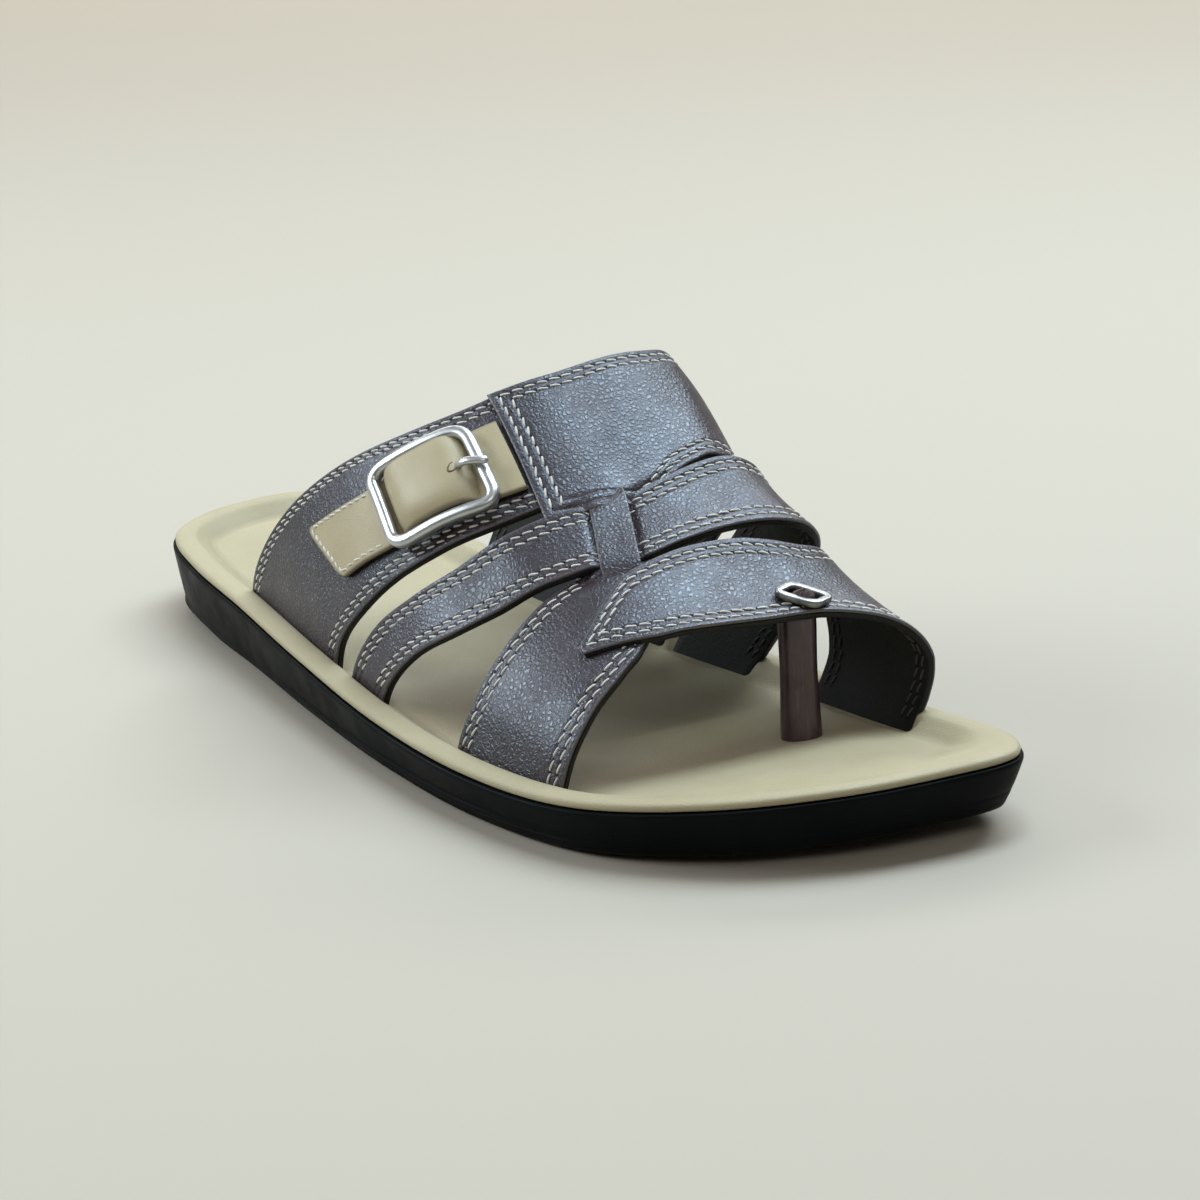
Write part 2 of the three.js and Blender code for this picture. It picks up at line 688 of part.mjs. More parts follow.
addNode('outsole', outsoleSolid(), finishes.rubber);
addNode('footbed', footbed, finishes.footbed);
addNode('upper', upper, finishes.leather);
addNode('buckle_strap', buckleStrap, finishes.tan);
addNode('buckle_frame', frameSolid(), finishes.steel);
addNode('buckle_prong', prongSolid(), finishes.steel);
addNode('toe_post', postSolid(), finishes.leather);
addNode('toe_ring', ringSolid(), finishes.steel);
addNode('toe_post_head', headSolid(), finishes.leather);

export default group;
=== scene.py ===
import math

import bpy
import numpy as np
from mathutils import Matrix, Vector


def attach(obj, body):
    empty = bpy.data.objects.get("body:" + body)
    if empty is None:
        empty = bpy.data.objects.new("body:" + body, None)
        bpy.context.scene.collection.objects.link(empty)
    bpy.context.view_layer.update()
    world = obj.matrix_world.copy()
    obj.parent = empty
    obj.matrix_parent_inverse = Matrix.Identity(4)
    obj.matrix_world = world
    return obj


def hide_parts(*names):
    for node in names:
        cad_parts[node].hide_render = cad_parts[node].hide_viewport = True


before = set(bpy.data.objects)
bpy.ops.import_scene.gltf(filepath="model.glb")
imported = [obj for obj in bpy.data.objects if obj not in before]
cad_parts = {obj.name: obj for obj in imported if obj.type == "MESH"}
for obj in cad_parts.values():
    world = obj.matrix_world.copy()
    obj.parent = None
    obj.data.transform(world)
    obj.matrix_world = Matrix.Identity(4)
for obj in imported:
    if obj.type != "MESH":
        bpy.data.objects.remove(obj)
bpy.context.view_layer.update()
print("frame loaded:", len(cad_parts), "nodes")

# Sizes are in millimetres in the shoemaker's frame: +X to the toe, +Y to the inner side.
# toFrame moves points to the CAD frame, in metres.
frameShift = np.array([1.26, 2.76, 0.0])


def toFrame(points):
    return (np.asarray(points, float) + frameShift) * 0.001


def mixed(a, b, share):
    return a + (b - a) * share


def eased(value, start, end):
    s = np.clip((value - start) / (end - start), 0, 1)
    return s * s * (3 - 2 * s)


def curve(rows, column, at):
    # smooth curve through one column of a table, read along its first column
    table = np.array(rows, float)
    p, v = table[:, 0], table[:, column]
    last = len(p) - 1
    k = np.arange(last + 1)
    before, after = np.maximum(k - 1, 0), np.minimum(k + 1, last)
    slope = (v[after] - v[before]) / (p[after] - p[before])
    at = np.asarray(at, float)
    i = np.clip(np.searchsorted(p, at) - 1, 0, last - 1)
    span = p[i + 1] - p[i]
    s = np.clip((at - p[i]) / span, 0, 1)
    start = (2 * s**3 - 3 * s**2 + 1) * v[i] + (s**3 - 2 * s**2 + s) * span * slope[i]
    end = (3 * s**2 - 2 * s**3) * v[i + 1] + (s**3 - s**2) * span * slope[i + 1]
    return start + end


def circle(count):
    return np.linspace(0, 2 * math.pi, count, endpoint=False)


def runOf(points):
    # the way along a line to each of its points
    return np.concatenate([[0], np.cumsum(np.linalg.norm(np.diff(points, axis=0), axis=1))])


# The last

last = {
    "outline": [  # top edge of the sole, heel, outer side, toe, inner side
        (-140, 2), (-137, -14), (-127, -28), (-103, -36), (-70, -41.5), (-30, -48.5), (12, -54),
        (52, -55), (86, -48.5), (111, -30), (127, -6), (135, 18), (137, 36), (127, 45), (100, 49),
        (60, 49.5), (20, 44.5), (-20, 38.5), (-62, 36), (-106, 37.5), (-128, 32), (-138, 18),
    ],
    "rim": [(-140, 22.6), (-90, 20.6), (-30, 17.6), (30, 14.4), (80, 14.4), (140, 20.2)],
    "rootInset": 9.7,
    "rootSink": 6.5,
    "sections": [  # x, crown y and z, outer rise, bow and top, inner top, bow and rise
        (-70, 22, 100, 0.34, 3.5, 36, 16, 14, 0.55),
        (-44, 25, 100, 0.38, 1.5, 37, 18, 18, 0.58),
        (-16, 27, 96, 0.42, 0.5, 36, 21, 21, 0.62),
        (8, 28, 86, 0.38, -0.5, 36, 24, 20, 0.65),
        (40, 26, 63, 0.42, 0, 37, 18, 14, 0.6),
        (60, 20, 52.5, 0.49, 0.5, 36, 25, 13.5, 0.72),
        (76, 15, 43, 0.58, 1, 36, 32, 12, 0.86),
        (100, 15, 35, 0.64, 1, 34, 34, 9, 0.92),
    ],
    "ringPoints": 560,
    "cornerEase": (3, 0.9),  # deeper than this the normals are eased, by this share of the rest
}


def evenOutline(count):
    points = np.array(last["outline"], float)
    total = len(points)
    loop = points[np.arange(-2, total + 3) % total]
    chord = runOf(loop)
    at = np.linspace(chord[2], chord[2 + total], count, endpoint=False)
    rows = np.column_stack([chord, loop])
    return np.column_stack([curve(rows, 1, at), curve(rows, 2, at)])


edge = evenOutline(last["ringPoints"])
edgeRun = np.roll(edge, -1, axis=0) - np.roll(edge, 1, axis=0)
edgeRun /= np.linalg.norm(edgeRun, axis=1)[:, None]
edgeNormal = np.column_stack([-edgeRun[:, 1], edgeRun[:, 0]])
edgeStep = np.linalg.norm(np.diff(edge, axis=0), axis=1).mean()
toeTip = int(edge[:, 0].argmax())
outerSide = edge[: toeTip + 1]
innerSide = np.concatenate([edge[toeTip:], edge[:1]])[::-1]


def outerY(x):
    return np.interp(x, outerSide[:, 0], outerSide[:, 1])


def innerY(x):
    return np.interp(x, innerSide[:, 0], innerSide[:, 1])


def middleY(x):
    return (outerY(x) + innerY(x)) / 2


def rimZ(x):
    return curve(last["rim"], 1, x)


def insetRing(inset):
    # the outline moved inward, with its normals eased round the tight corners
    start, share = last["cornerEase"]
    sigma = max(inset - start, 0) * share / edgeStep
    pace = np.fft.fftfreq(len(edge))
    soften = np.exp(-2 * (math.pi * sigma * pace) ** 2)[:, None]
    normal = np.fft.ifft(np.fft.fft(edgeNormal, axis=0) * soften, axis=0).real
    return edge + normal * inset


def lastPoint(x, t):
    x, t = np.broadcast_arrays(np.asarray(x, float), np.asarray(t, float))
    crownY, crownZ, outRise, outBow, outTop, inTop, inBow, inRise = (
        curve(last["sections"], k, x) for k in range(1, 9)
    )
    rootZ = rimZ(x) - last["rootSink"]
    rise = crownZ - rootZ
    outY = outerY(x) + last["rootInset"]
    inY = innerY(x) - last["rootInset"]
    outer = t <= 0.5
    s = np.where(outer, 2 * t, 2 * t - 1)
    a, b = (1 - s) ** 3, 3 * s * (1 - s) ** 2
    c, d = 3 * s**2 * (1 - s), s**3
    yOut = a * outY + b * (outY - outBow) + c * (crownY - outTop) + d * crownY
    zOut = a * rootZ + b * (rootZ + outRise * rise) + (c + d) * crownZ
    yIn = a * crownY + b * (crownY + inTop) + c * (inY + inBow) + d * inY
    zIn = (a + b) * crownZ + c * (rootZ + inRise * rise) + d * rootZ
    return np.stack([x, np.where(outer, yOut, yIn), np.where(outer, zOut, zIn)], axis=-1)


def unit(vectors):
    return vectors / np.maximum(np.linalg.norm(vectors, axis=-1, keepdims=True), 1e-9)


def lastNormal(x, t):
    alongX = lastPoint(x + 0.5, t) - lastPoint(x - 0.5, t)
    alongT = lastPoint(x, np.minimum(t + 0.004, 1)) - lastPoint(x, np.maximum(t - 0.004, 0))
    return unit(np.cross(alongX, alongT))


def above(x, t, lift):
    return lastPoint(x, t) + lastNormal(x, t) * np.asarray(lift)[..., None]


# Meshes

def ringFaces(rows, columns):
    i, j = np.meshgrid(np.arange(rows - 1), np.arange(columns), indexing="ij")
    here, beside = i * columns + j, i * columns + (j + 1) % columns
    return np.stack([here, beside, beside + columns, here + columns], axis=-1).reshape(-1, 4)


def tubeFaces(rows, around):
    # rings of faces with a cap at each end
    caps = [list(range(around))[::-1], [(rows - 1) * around + k for k in range(around)]]
    return ringFaces(rows, around).tolist() + caps


def addObject(name, data):
    made = bpy.data.objects.new(name, data)
    bpy.context.scene.collection.objects.link(made)
    return made


def makePiece(name, points, faces, finishes, slots=None, values=None, sharp=None):
    mesh = bpy.data.meshes.new(name)
    mesh.from_pydata(toFrame(points).tolist(), [], [list(map(int, f)) for f in faces])
    for finish in finishes:
        mesh.materials.append(finish)
    if slots is not None:
        mesh.polygons.foreach_set("material_index", np.asarray(slots, np.int32))
    for key, numbers in (values or {}).items():
        layer = mesh.attributes.new(key, "FLOAT", "POINT")
        layer.data.foreach_set("value", np.asarray(numbers, np.float32))
    mesh.validate()
    mesh.shade_smooth()
    if sharp:
        mesh.set_sharp_from_angle(angle=math.radians(sharp))
    piece = addObject(name, mesh)
    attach(piece, "root")
    return piece


def outward(points, faces):
    # turns the faces round if the closed mesh is inside out
    quads = points[np.array([face for face in faces if len(face) == 4])]
    halves = [np.cross(quads[:, k] - points[0], quads[:, k + 1] - points[0]) for k in (1, 2)]
    volume = np.sum((quads[:, 0] - points[0]) * (halves[0] + halves[1]))
    return faces if volume > 0 else [list(face)[::-1] for face in faces]


# Finishes

class Value:
    # a socket that takes part in Python sums
    def __init__(self, tree, socket):
        self.tree = tree
        self.socket = socket

    def sum(self, operation, a, b):
        node = self.tree.nodes.new("ShaderNodeMath")
        node.operation = operation
        for place, term in zip(node.inputs, (a, b)):
            if isinstance(term, Value):
                self.tree.links.new(term.socket, place)
            else:
                place.default_value = term
        return Value(self.tree, node.outputs[0])

    def __add__(self, other):
        return self.sum("ADD", self, other)

    def __radd__(self, other):
        return self.sum("ADD", other, self)

    def __sub__(self, other):
        return self.sum("SUBTRACT", self, other)

    def __rsub__(self, other):
        return self.sum("SUBTRACT", other, self)

    def __mul__(self, other):
        return self.sum("MULTIPLY", self, other)

    def __rmul__(self, other):
        return self.sum("MULTIPLY", other, self)


class Nodes:
    def __init__(self, tree):
        self.tree = tree

    def add(self, kind, settings=None, sockets=None, out=0):
        node = self.tree.nodes.new(kind)
        for key, value in (settings or {}).items():
            if key == "stops":
                ramp = node.color_ramp.elements
                while len(ramp) < len(value):
                    ramp.new(0.5)
                for stop, (place, colour) in zip(ramp, value):
                    stop.position = place
                    stop.color = (*colour, 1)
            else:
                setattr(node, key, value)
        for key, value in (sockets or {}).items():
            self.feed(node.inputs[key], value)
        return Value(self.tree, node.outputs[out])

    def feed(self, socket, value):
        if isinstance(value, Value):
            self.tree.links.new(value.socket, socket)
        elif hasattr(value, "__len__") and len(socket.default_value) == 4 and len(value) == 3:
            socket.default_value = (*value, 1)
        else:
            socket.default_value = value


class Finish(Nodes):
    # scales are in cells a metre and depths in metres
    def __init__(self, name):
        self.material = bpy.data.materials.new(name)
        self.material.use_nodes = True
        super().__init__(self.material.node_tree)
        self.shader = self.tree.nodes["Principled BSDF"]
        self.place = self.add("ShaderNodeTexCoord", out="Object")

    def set(self, **sockets):
        for key, value in sockets.items():
            self.feed(self.shader.inputs[key.replace("_", " ")], value)
        return self.material

    def noise(self, scale, detail=3, rough=0.5, at=None, out=0):
        sockets = {"Vector": at or self.place, "Scale": scale, "Detail": detail, "Roughness": rough}
        return self.add("ShaderNodeTexNoise", None, sockets, out)

    def ranged(self, value, low, high, to=(0, 1)):
        return self.add(
            "ShaderNodeMapRange", {"interpolation_type": "SMOOTHSTEP"},
            {"Value": value, "From Min": low, "From Max": high, "To Min": to[0], "To Max": to[1]},
        )

    def cloud(self, scale, detail=3, low=0.3, high=0.7, to=(0, 1)):
        return self.ranged(self.noise(scale, detail), low, high, to)

    def blend(self, share, a, b):
        return self.add("ShaderNodeMix", {"data_type": "RGBA"}, {0: share, 6: a, 7: b}, out=2)

    def vector(self, operation, sockets):
        return self.add("ShaderNodeVectorMath", {"operation": operation}, sockets)

    def stretched(self, scale):
        return self.vector("MULTIPLY", {0: self.place, 1: scale})

    def cells(self, scale, wide, shakeScale, shake):
        # raised cells with soft valleys, their walls shaken out of line
        centred = self.vector("SUBTRACT", {0: self.noise(shakeScale, 2, out="Color"), 1: (0.5, 0.5, 0.5)})
        moved = self.vector("SCALE", {0: centred, "Scale": shake})
        at = self.vector("ADD", {0: self.place, 1: moved})
        sockets = {"Vector": at, "Scale": scale}
        walls = self.add("ShaderNodeTexVoronoi", {"feature": "DISTANCE_TO_EDGE"}, sockets)
        return self.ranged(walls, 0.0, wide)

    def fineGrain(self, scale, pores):
        return self.cells(scale, 0.4, 500, 0.0006) + self.noise(pores, 2) * 0.4

    def bump(self, height, depth, strength):
        sockets = {"Height": height, "Distance": depth, "Strength": strength}
        return self.add("ShaderNodeBump", None, sockets, "Normal")

    def own(self, name):
        return self.add("ShaderNodeAttribute", {"attribute_name": name}, out="Fac")


brownLeather = {
    "deep": (0.021, 0.0115, 0.0125), "warm": (0.058, 0.034, 0.039),
    "worn": (0.24, 0.215, 0.205), "wornWide": (0.12, 0.75),  # millimetres in from a cut edge
    "pebble": 820, "pebbleWide": 0.36, "pebbleDepth": 0.00012, "fine": 2.3,
    "roughness": (0.26, 0.33), "valley": 0.14,
    "sheen": (0.74, 0.87, 1.0), "gloss": 0.34,
}


def makeBrownLeather():
    cfg = brownLeather
    f = Finish("brown_leather")
    pebble = f.cells(cfg["pebble"], cfg["pebbleWide"], 420, 0.0011)
    fine = f.cells(cfg["pebble"] * cfg["fine"], 0.4, 800, 0.0005)
    patch = f.cloud(60, 4, 0.34, 0.66)
    colour = f.blend(patch * 0.6 + f.noise(16) * 0.4, cfg["deep"], cfg["warm"])
    # painted shade: the colour darkens in the valleys between the pebbles
    colour = f.blend(pebble * 0.7 + 0.3, f.blend(0.7, colour, cfg["deep"]), colour)
    rub = 1 - f.ranged(f.own("edgeDistance"), *cfg["wornWide"])
    colour = f.blend(rub * 0.35, colour, cfg["worn"])
    relief = f.cloud(45, to=(0.45, 1.0))
    height = (pebble + fine * 0.3) * relief + f.noise(2600, 2) * 0.2
    rough = f.cloud(90, to=cfg["roughness"]) + (1 - pebble) * cfg["valley"]
    return f.set(
        Base_Color=colour, Roughness=rough, Normal=f.bump(height, cfg["pebbleDepth"], 1.0),
        Coat_Weight=pebble * cfg["gloss"], Coat_Roughness=0.27, Coat_Tint=cfg["sheen"],
        Specular_IOR_Level=0.78, Specular_Tint=cfg["sheen"],
    )


blackLining = {
    "deep": (0.0045, 0.0048, 0.005), "pale": (0.009, 0.0092, 0.0095),
    "weave": 1700, "roughness": (0.46, 0.62),
}


def makeLining():
    cfg = blackLining
    f = Finish("black_lining")
    weave = f.noise(cfg["weave"], 2)
    colour = f.blend(f.cloud(70, 3, 0.35, 0.7), cfg["deep"], cfg["pale"])
    rough = f.ranged(weave, 0.3, 0.7, cfg["roughness"])
    relief = f.bump(weave, 0.00012, 0.6)
    return f.set(Base_Color=colour, Roughness=rough, Normal=relief, Specular_IOR_Level=0.3)


footbedCover = {
    "pale": (0.405, 0.36, 0.232), "khaki": (0.362, 0.318, 0.198),
    # the first dark colour gives random specks and the painted shade of the crease mask; the second gives
    # foot wear and painted shade under the straps
    "soilAndShade": (0.16, 0.135, 0.085), "treadAndShade": (0.2, 0.17, 0.1),
    "grain": 1500, "grainDepth": 0.00007, "roughness": (0.5, 0.64),
}


def makeFootbedCover():
    cfg = footbedCover
    f = Finish("beige_footbed")
    colour = f.blend(f.cloud(26, 4, 0.3, 0.72), cfg["pale"], cfg["khaki"])
    # painted shade along the rim's inner step and beside the strap slots, from the crease attribute
    colour = f.blend(f.ranged(f.own("crease"), 0.15, 1.0) * 0.42, colour, cfg["soilAndShade"])
    # foot wear and painted shade under the straps, from the worn attribute
    colour = f.blend(f.own("worn") * 0.85, colour, cfg["treadAndShade"])
    colour = f.blend(f.cloud(900, 2, 0.62, 0.75) * 0.12, colour, cfg["soilAndShade"])
    grain = f.fineGrain(cfg["grain"], 3000)
    return f.set(
        Base_Color=colour, Roughness=f.cloud(60, to=cfg["roughness"]),
        Normal=f.bump(grain, cfg["grainDepth"], 0.55), Sheen_Weight=0.06,
    )


tanLeather = {
    "pale": (0.43, 0.372, 0.235), "deep": (0.385, 0.33, 0.2),
    "worn": (0.13, 0.095, 0.052), "wornWide": (0.1, 1.1),
    "grain": 1900, "grainDepth": 0.00006, "roughness": (0.42, 0.55),
}


def makeTanLeather():
    cfg = tanLeather
    f = Finish("tan_leather")
    colour = f.blend(f.cloud(60, 4), cfg["pale"], cfg["deep"])
    rub = 1 - f.ranged(f.own("edgeDistance"), *cfg["wornWide"])
    colour = f.blend(rub * 0.6, colour, cfg["worn"])
    grain = f.fineGrain(cfg["grain"], 3600)
    return f.set(
        Base_Color=colour, Roughness=f.cloud(80, to=cfg["roughness"]),
        Normal=f.bump(grain, cfg["grainDepth"], 0.5), Coat_Weight=0.08, Coat_Roughness=0.4,
    )


soleRubber = {
    "deep": (0.0030, 0.0040, 0.0044), "pale": (0.0056, 0.0072, 0.0078),
    "scuff": (0.03, 0.033, 0.035), "dust": (0.09, 0.088, 0.082),
    "reliefDepth": 0.00006, "roughness": (0.36, 0.5),
}


def makeSoleRubber():
    cfg = soleRubber
    f = Finish("black_sole")
    colour = f.blend(f.cloud(35, 4), cfg["deep"], cfg["pale"])
    scuff = f.ranged(f.noise(120, 5, 0.65, f.stretched((1, 1, 6))), 0.66, 0.8)
    colour = f.blend(scuff * 0.22, colour, cfg["scuff"])
    colour = f.blend(f.cloud(2200, 1, 0.72, 0.8) * 0.2, colour, cfg["dust"])
    rough = f.cloud(110, 4, to=cfg["roughness"]) + scuff * 0.2
    height = f.noise(1300) + f.noise(260, 2, at=f.stretched((1, 1, 0.2))) * 0.8
    relief = f.bump(height, cfg["reliefDepth"], 0.5)
    return f.set(Base_Color=colour, Roughness=rough, Normal=relief, Specular_IOR_Level=0.05)


brightSteel = {
    "pale": (0.58, 0.6, 0.61), "dull": (0.48, 0.495, 0.5), "cloud": (160, 3, 0.3, 0.7),
    "hair": 900, "hairRun": (1, 1, 7), "hairDepth": 0.00001, "strength": 0.35, "roughness": (0.3, 0.4),
}
wornSteel = {
    "pale": (0.33, 0.34, 0.34), "dull": (0.19, 0.19, 0.19), "cloud": (420, 4, 0.35, 0.65),
    "hair": 1500, "hairRun": (1, 1, 1), "hairDepth": 0.00003, "strength": 0.5, "roughness": (0.3, 0.45),
}


def makeSteel(name, cfg):
    f = Finish(name)
    hair = f.noise(cfg["hair"], at=f.stretched(cfg["hairRun"]))
    return f.set(
        Base_Color=f.blend(f.cloud(*cfg["cloud"]), cfg["pale"], cfg["dull"]), Metallic=1.0,
        Roughness=f.ranged(hair, 0.3, 0.75, cfg["roughness"]),
        Normal=f.bump(hair, cfg["hairDepth"], cfg["strength"]),
    )


creamThread = {"pale": (0.72, 0.705, 0.65), "deep": (0.55, 0.54, 0.49)}
darkThread = {"pale": (0.05, 0.045, 0.042), "deep": (0.03, 0.027, 0.026)}


def makeThread(name, cfg):
    f = Finish(name)
    colour = f.blend(f.cloud(300), cfg["pale"], cfg["deep"])
    twist = f.bump(f.noise(2600, 2), 0.00012, 0.7)
    return f.set(Base_Color=colour, Roughness=0.7, Normal=twist, Sheen_Weight=0.1)


holeColours = {
    # the needle marks are painted shade; the rim is the pressed leather's own colour
    "needleShade": ((0.006, 0.0045, 0.005), (0.014, 0.010, 0.010)),
    "rim": ((0.16, 0.10, 0.055), (0.075, 0.045, 0.025)),
}


# painted shade: near-black marks that stand for the shade inside the needle holes
def makeHoleShade():
    f = Finish("needle_hole_shade")
    colour = f.blend(f.noise(700, 2), *holeColours["needleShade"])
    return f.set(Base_Color=colour, Roughness=0.85, Specular_IOR_Level=0.1)


def makeHoleLeather():
    f = Finish("hole_rim_leather")
    colour = f.blend(f.cloud(900), *holeColours["rim"])
    return f.set(Base_Color=colour, Roughness=0.6, Normal=f.bump(f.noise(2600, 2), 0.0001, 0.6))


# the streak colours are painted highlights along the wrinkles of the rolled leather
rolledLeather = {
    "post_leather": {
        "deep": (0.026, 0.012, 0.018), "warm": (0.062, 0.032, 0.044), "streak": (0.13, 0.09, 0.1),
    },
    "knob_leather": {
        "deep": (0.075, 0.052, 0.055), "warm": (0.15, 0.115, 0.115), "streak": (0.2, 0.165, 0.16),
    },
}


def makeRolledLeather(name):
    cfg = rolledLeather[name]
    f = Finish(name)
    streak = f.noise(900, 4, at=f.stretched((1, 1, 0.06)))
    colour = f.blend(f.cloud(120, 4), cfg["deep"], cfg["warm"])
    # painted highlight: lighter along the streaks, where gloss would catch the light
    colour = f.blend(f.ranged(streak, 0.5, 0.72) * 0.6, colour, cfg["streak"])
    height = streak + f.noise(1800, 2) * 0.3
    return f.set(
        Base_Color=colour, Roughness=f.ranged(streak, 0.3, 0.7, (0.26, 0.42)),
        Normal=f.bump(height, 0.00012, 0.6), Coat_Weight=0.35, Coat_Roughness=0.18,
    )


leather = makeBrownLeather()
lining = makeLining()
beige = makeFootbedCover()
tan = makeTanLeather()
rubber = makeSoleRubber()
steel = makeSteel("bright_steel", brightSteel)
dullSteel = makeSteel("worn_steel", wornSteel)
thread = makeThread("cream_thread", creamThread)
liningThread = makeThread("lining_thread", darkThread)
holeShade = makeHoleShade()
postLeather = makeRolledLeather("post_leather")
knobLeather = makeRolledLeather("knob_leather")
holeLeather = makeHoleLeather()
print("finishes made")

# Sole

sole = {
    "lipDrop": 2.3,
    "toeSpring": 6, "springStart": 42, "lengthToe": 140,
    "archLift": 1.6, "archRun": (-62, 22), "archSide": (-15, 40),
    "foot": [  # inset, height over the underside
        (5.6, 0), (4.9, 0.04), (4.5, 0.3), (4.3, 0.8), (3.7, 2.5), (3.55, 2.85), (3.3, 3.0),
        (2.75, 2.95), (2.3, 3.05), (2.05, 3.4), (2.1, 3.9), (2.4, 4.4),
    ],
    "toeFoot": [  # the same rings under the toe, where the wall runs straight down
        (5.6, 0), (4.9, 0.04), (4.4, 0.25), (4.0, 0.65), (3.65, 1.3), (3.4, 1.9), (3.15, 2.4),
        (2.95, 2.8), (2.78, 3.2), (2.62, 3.6), (2.5, 4.0), (2.4, 4.4),
    ],
    "lip": [  # inset, height over the lip
        (0.02, -1.1), (0, -0.7), (0.02, -0.45), (0.14, -0.18), (0.38, -0.03), (0.75, 0),
        (1.2, -0.04), (3.2, -0.05),
    ],
    "toePlain": (45, 95),  # where the wall loses its step
    "wallRings": 16, "wallBow": 0.85,
    "spine": (-102, 88),  # ends of the middle line that the rings close on
    "treadPitch": 7.5, "treadDepth": 0.9, "treadRings": 46, "treadBorder": (0.05, 0.1),
    "treadWave": 3.2, "waveLong": 7, "grooveSide": (0.24, 0.34),
    "heelGrip": (52, 60), "ballGrip": (12, 20),
}


def baseZ(p):
    cfg = sole
    x, y = p.T
    spring = np.maximum(0, (x - cfg["springStart"]) / (cfg["lengthToe"] - cfg["springStart"])) ** 2
    back, front = cfg["archRun"]
    arch = np.sin(math.pi * np.clip((x - back) / (front - back), 0, 1)) ** 2
    return cfg["toeSpring"] * spring + cfg["archLift"] * arch * eased(y, *cfg["archSide"])


def overRim(p, height):
    return np.column_stack([p, rimZ(p[:, 0]) + height])


def spinePoint(ring):
    x = np.clip(ring[:, 0], *sole["spine"])
    return np.column_stack([x, middleY(x)])


def treadCut(p, share):
    # wavy bars across the underside, with a plain waist and border
    cfg = sole
    x, y = p.T
    phase = (x + cfg["treadWave"] * np.sin(y / cfg["waveLong"])) / cfg["treadPitch"]
    groove = eased(np.abs((phase % 1) - 0.5), *cfg["grooveSide"])
    grip = np.maximum(eased(-x, *cfg["heelGrip"]), eased(x, *cfg["ballGrip"]))
    return cfg["treadDepth"] * groove * grip * eased(share, *cfg["treadBorder"])


def makeSole():
    cfg = sole
    rings = []
    outerRing = insetRing(cfg["foot"][0][0])
    middle = spinePoint(outerRing)
    for share in np.linspace(1, 0, cfg["treadRings"]):
        p = mixed(outerRing, middle, share)
        rings.append(np.column_stack([p, baseZ(p) + treadCut(p, share)]))
    plain = eased(edge[:, 0], *cfg["toePlain"])
    for (inset, height), (toeInset, toeHeight) in zip(cfg["foot"][1:], cfg["toeFoot"][1:]):
        p = mixed(insetRing(inset), insetRing(toeInset), plain[:, None])
        rings.append(np.column_stack([p, baseZ(p) + mixed(height, toeHeight, plain)]))
    wallInset, wallFoot = cfg["foot"][-1]
    lipInset, lipLow = cfg["lip"][0]
    for q in np.linspace(0, 1, cfg["wallRings"] + 2)[1:-1]:
        p = insetRing(mixed(wallInset, lipInset, q ** cfg["wallBow"]))
        high = rimZ(p[:, 0]) - cfg["lipDrop"] + lipLow
        rings.append(np.column_stack([p, mixed(baseZ(p) + wallFoot, high, q)]))
    for inset, height in cfg["lip"]:
        rings.append(overRim(insetRing(inset), height - cfg["lipDrop"]))
    faces = ringFaces(len(rings), len(edge))[:, ::-1]
    piece = makePiece("sole", np.concatenate(rings), faces, [rubber], sharp=50)
    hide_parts("outsole")


makeSole()
print("sole made")

# Footbed

footbed = {
    "dishDepth": 3.5, "heelCup": 0.9,
    "side": [(3.2, -2.0), (1.1, -2.0), (0.74, -1.7), (0.7, -1.2), (0.84, -0.7), (1.12, -0.36)],
    "open": [  # rim and step down to the dish
        (1.5, -0.12), (2.4, 0.12), (4, 0.3), (5.4, 0.16), (6.6, -0.2), (8.6, -1.6), (10.6, -3),
        (12.6, -3.5), (14, -3.5),
    ],
    "gripped": [  # the same beside a strap, with its slot
        (1.5, -0.12), (2.4, 0.12), (4, 0.32), (5.6, 0.2), (6.6, -0.1), (7.2, -0.75), (7.6, -2.2),
        (8.3, -4.1), (9.6, -4.5), (11, -4.0), (12.6, -3.6), (14, -3.5),
    ],
    "rimInsets": (1.5, 5.9, 0.7), "stepInsets": (6.2, 14.1, 0.2), "dishInset": 14.0,
    # painted shade: the footbed darkens along the rim's inner step and in the slots beside the strap roots
    "foldShade": (11, 3.2), "slotShade": (8.4, 1.8),  # inset, reach
    "outerRoots": [(-76, -22), (-13.5, 3), (39, 74)],
    "innerRoots": [(-60, 10.5), (14.5, 39), (61.5, 96)],
    "rootEase": 4.5,
    "dishRings": 44,
    "fadeOuter": (76, 108), "fadeSide": (16, 36), "fadeTip": (112, 128), "fadeInset": (3, 8),
    "archPad": (0.9, -25, 34), "archSide": (0, 26),  # height, place along, length
    "toeRidge": (0.55, 84, 9), "ridgeSlant": 0.12, "toeFlat": 0.6,
    # where the foot wear and the painted shade under the straps lie
    "wearShadeStart": (-62, -22), "wearShadeEnd": (44, 72), "wearShadeSide": (0.24, 0.4),
}


def rootGrip(p):
    # 1 beside the root of a strap
    cfg = footbed
    x, y = p.T
    outer = y < middleY(x)
    grip = np.zeros_like(x)
    for roots, side in ((cfg["outerRoots"], outer), (cfg["innerRoots"], ~outer)):
        for back, front in roots:
            near = eased(x, back - cfg["rootEase"], back) * eased(-x, -front - cfg["rootEase"], -front)
            grip = np.where(side, np.maximum(grip, near), grip)
    return grip


def toeFade(p):
    # the step into the dish runs out along the front of the toe
    x, y = p.T
    outer = eased(x, *footbed["fadeOuter"]) * (1 - eased(y, *footbed["fadeSide"]))
    return np.maximum(outer, eased(x, *footbed["fadeTip"]))


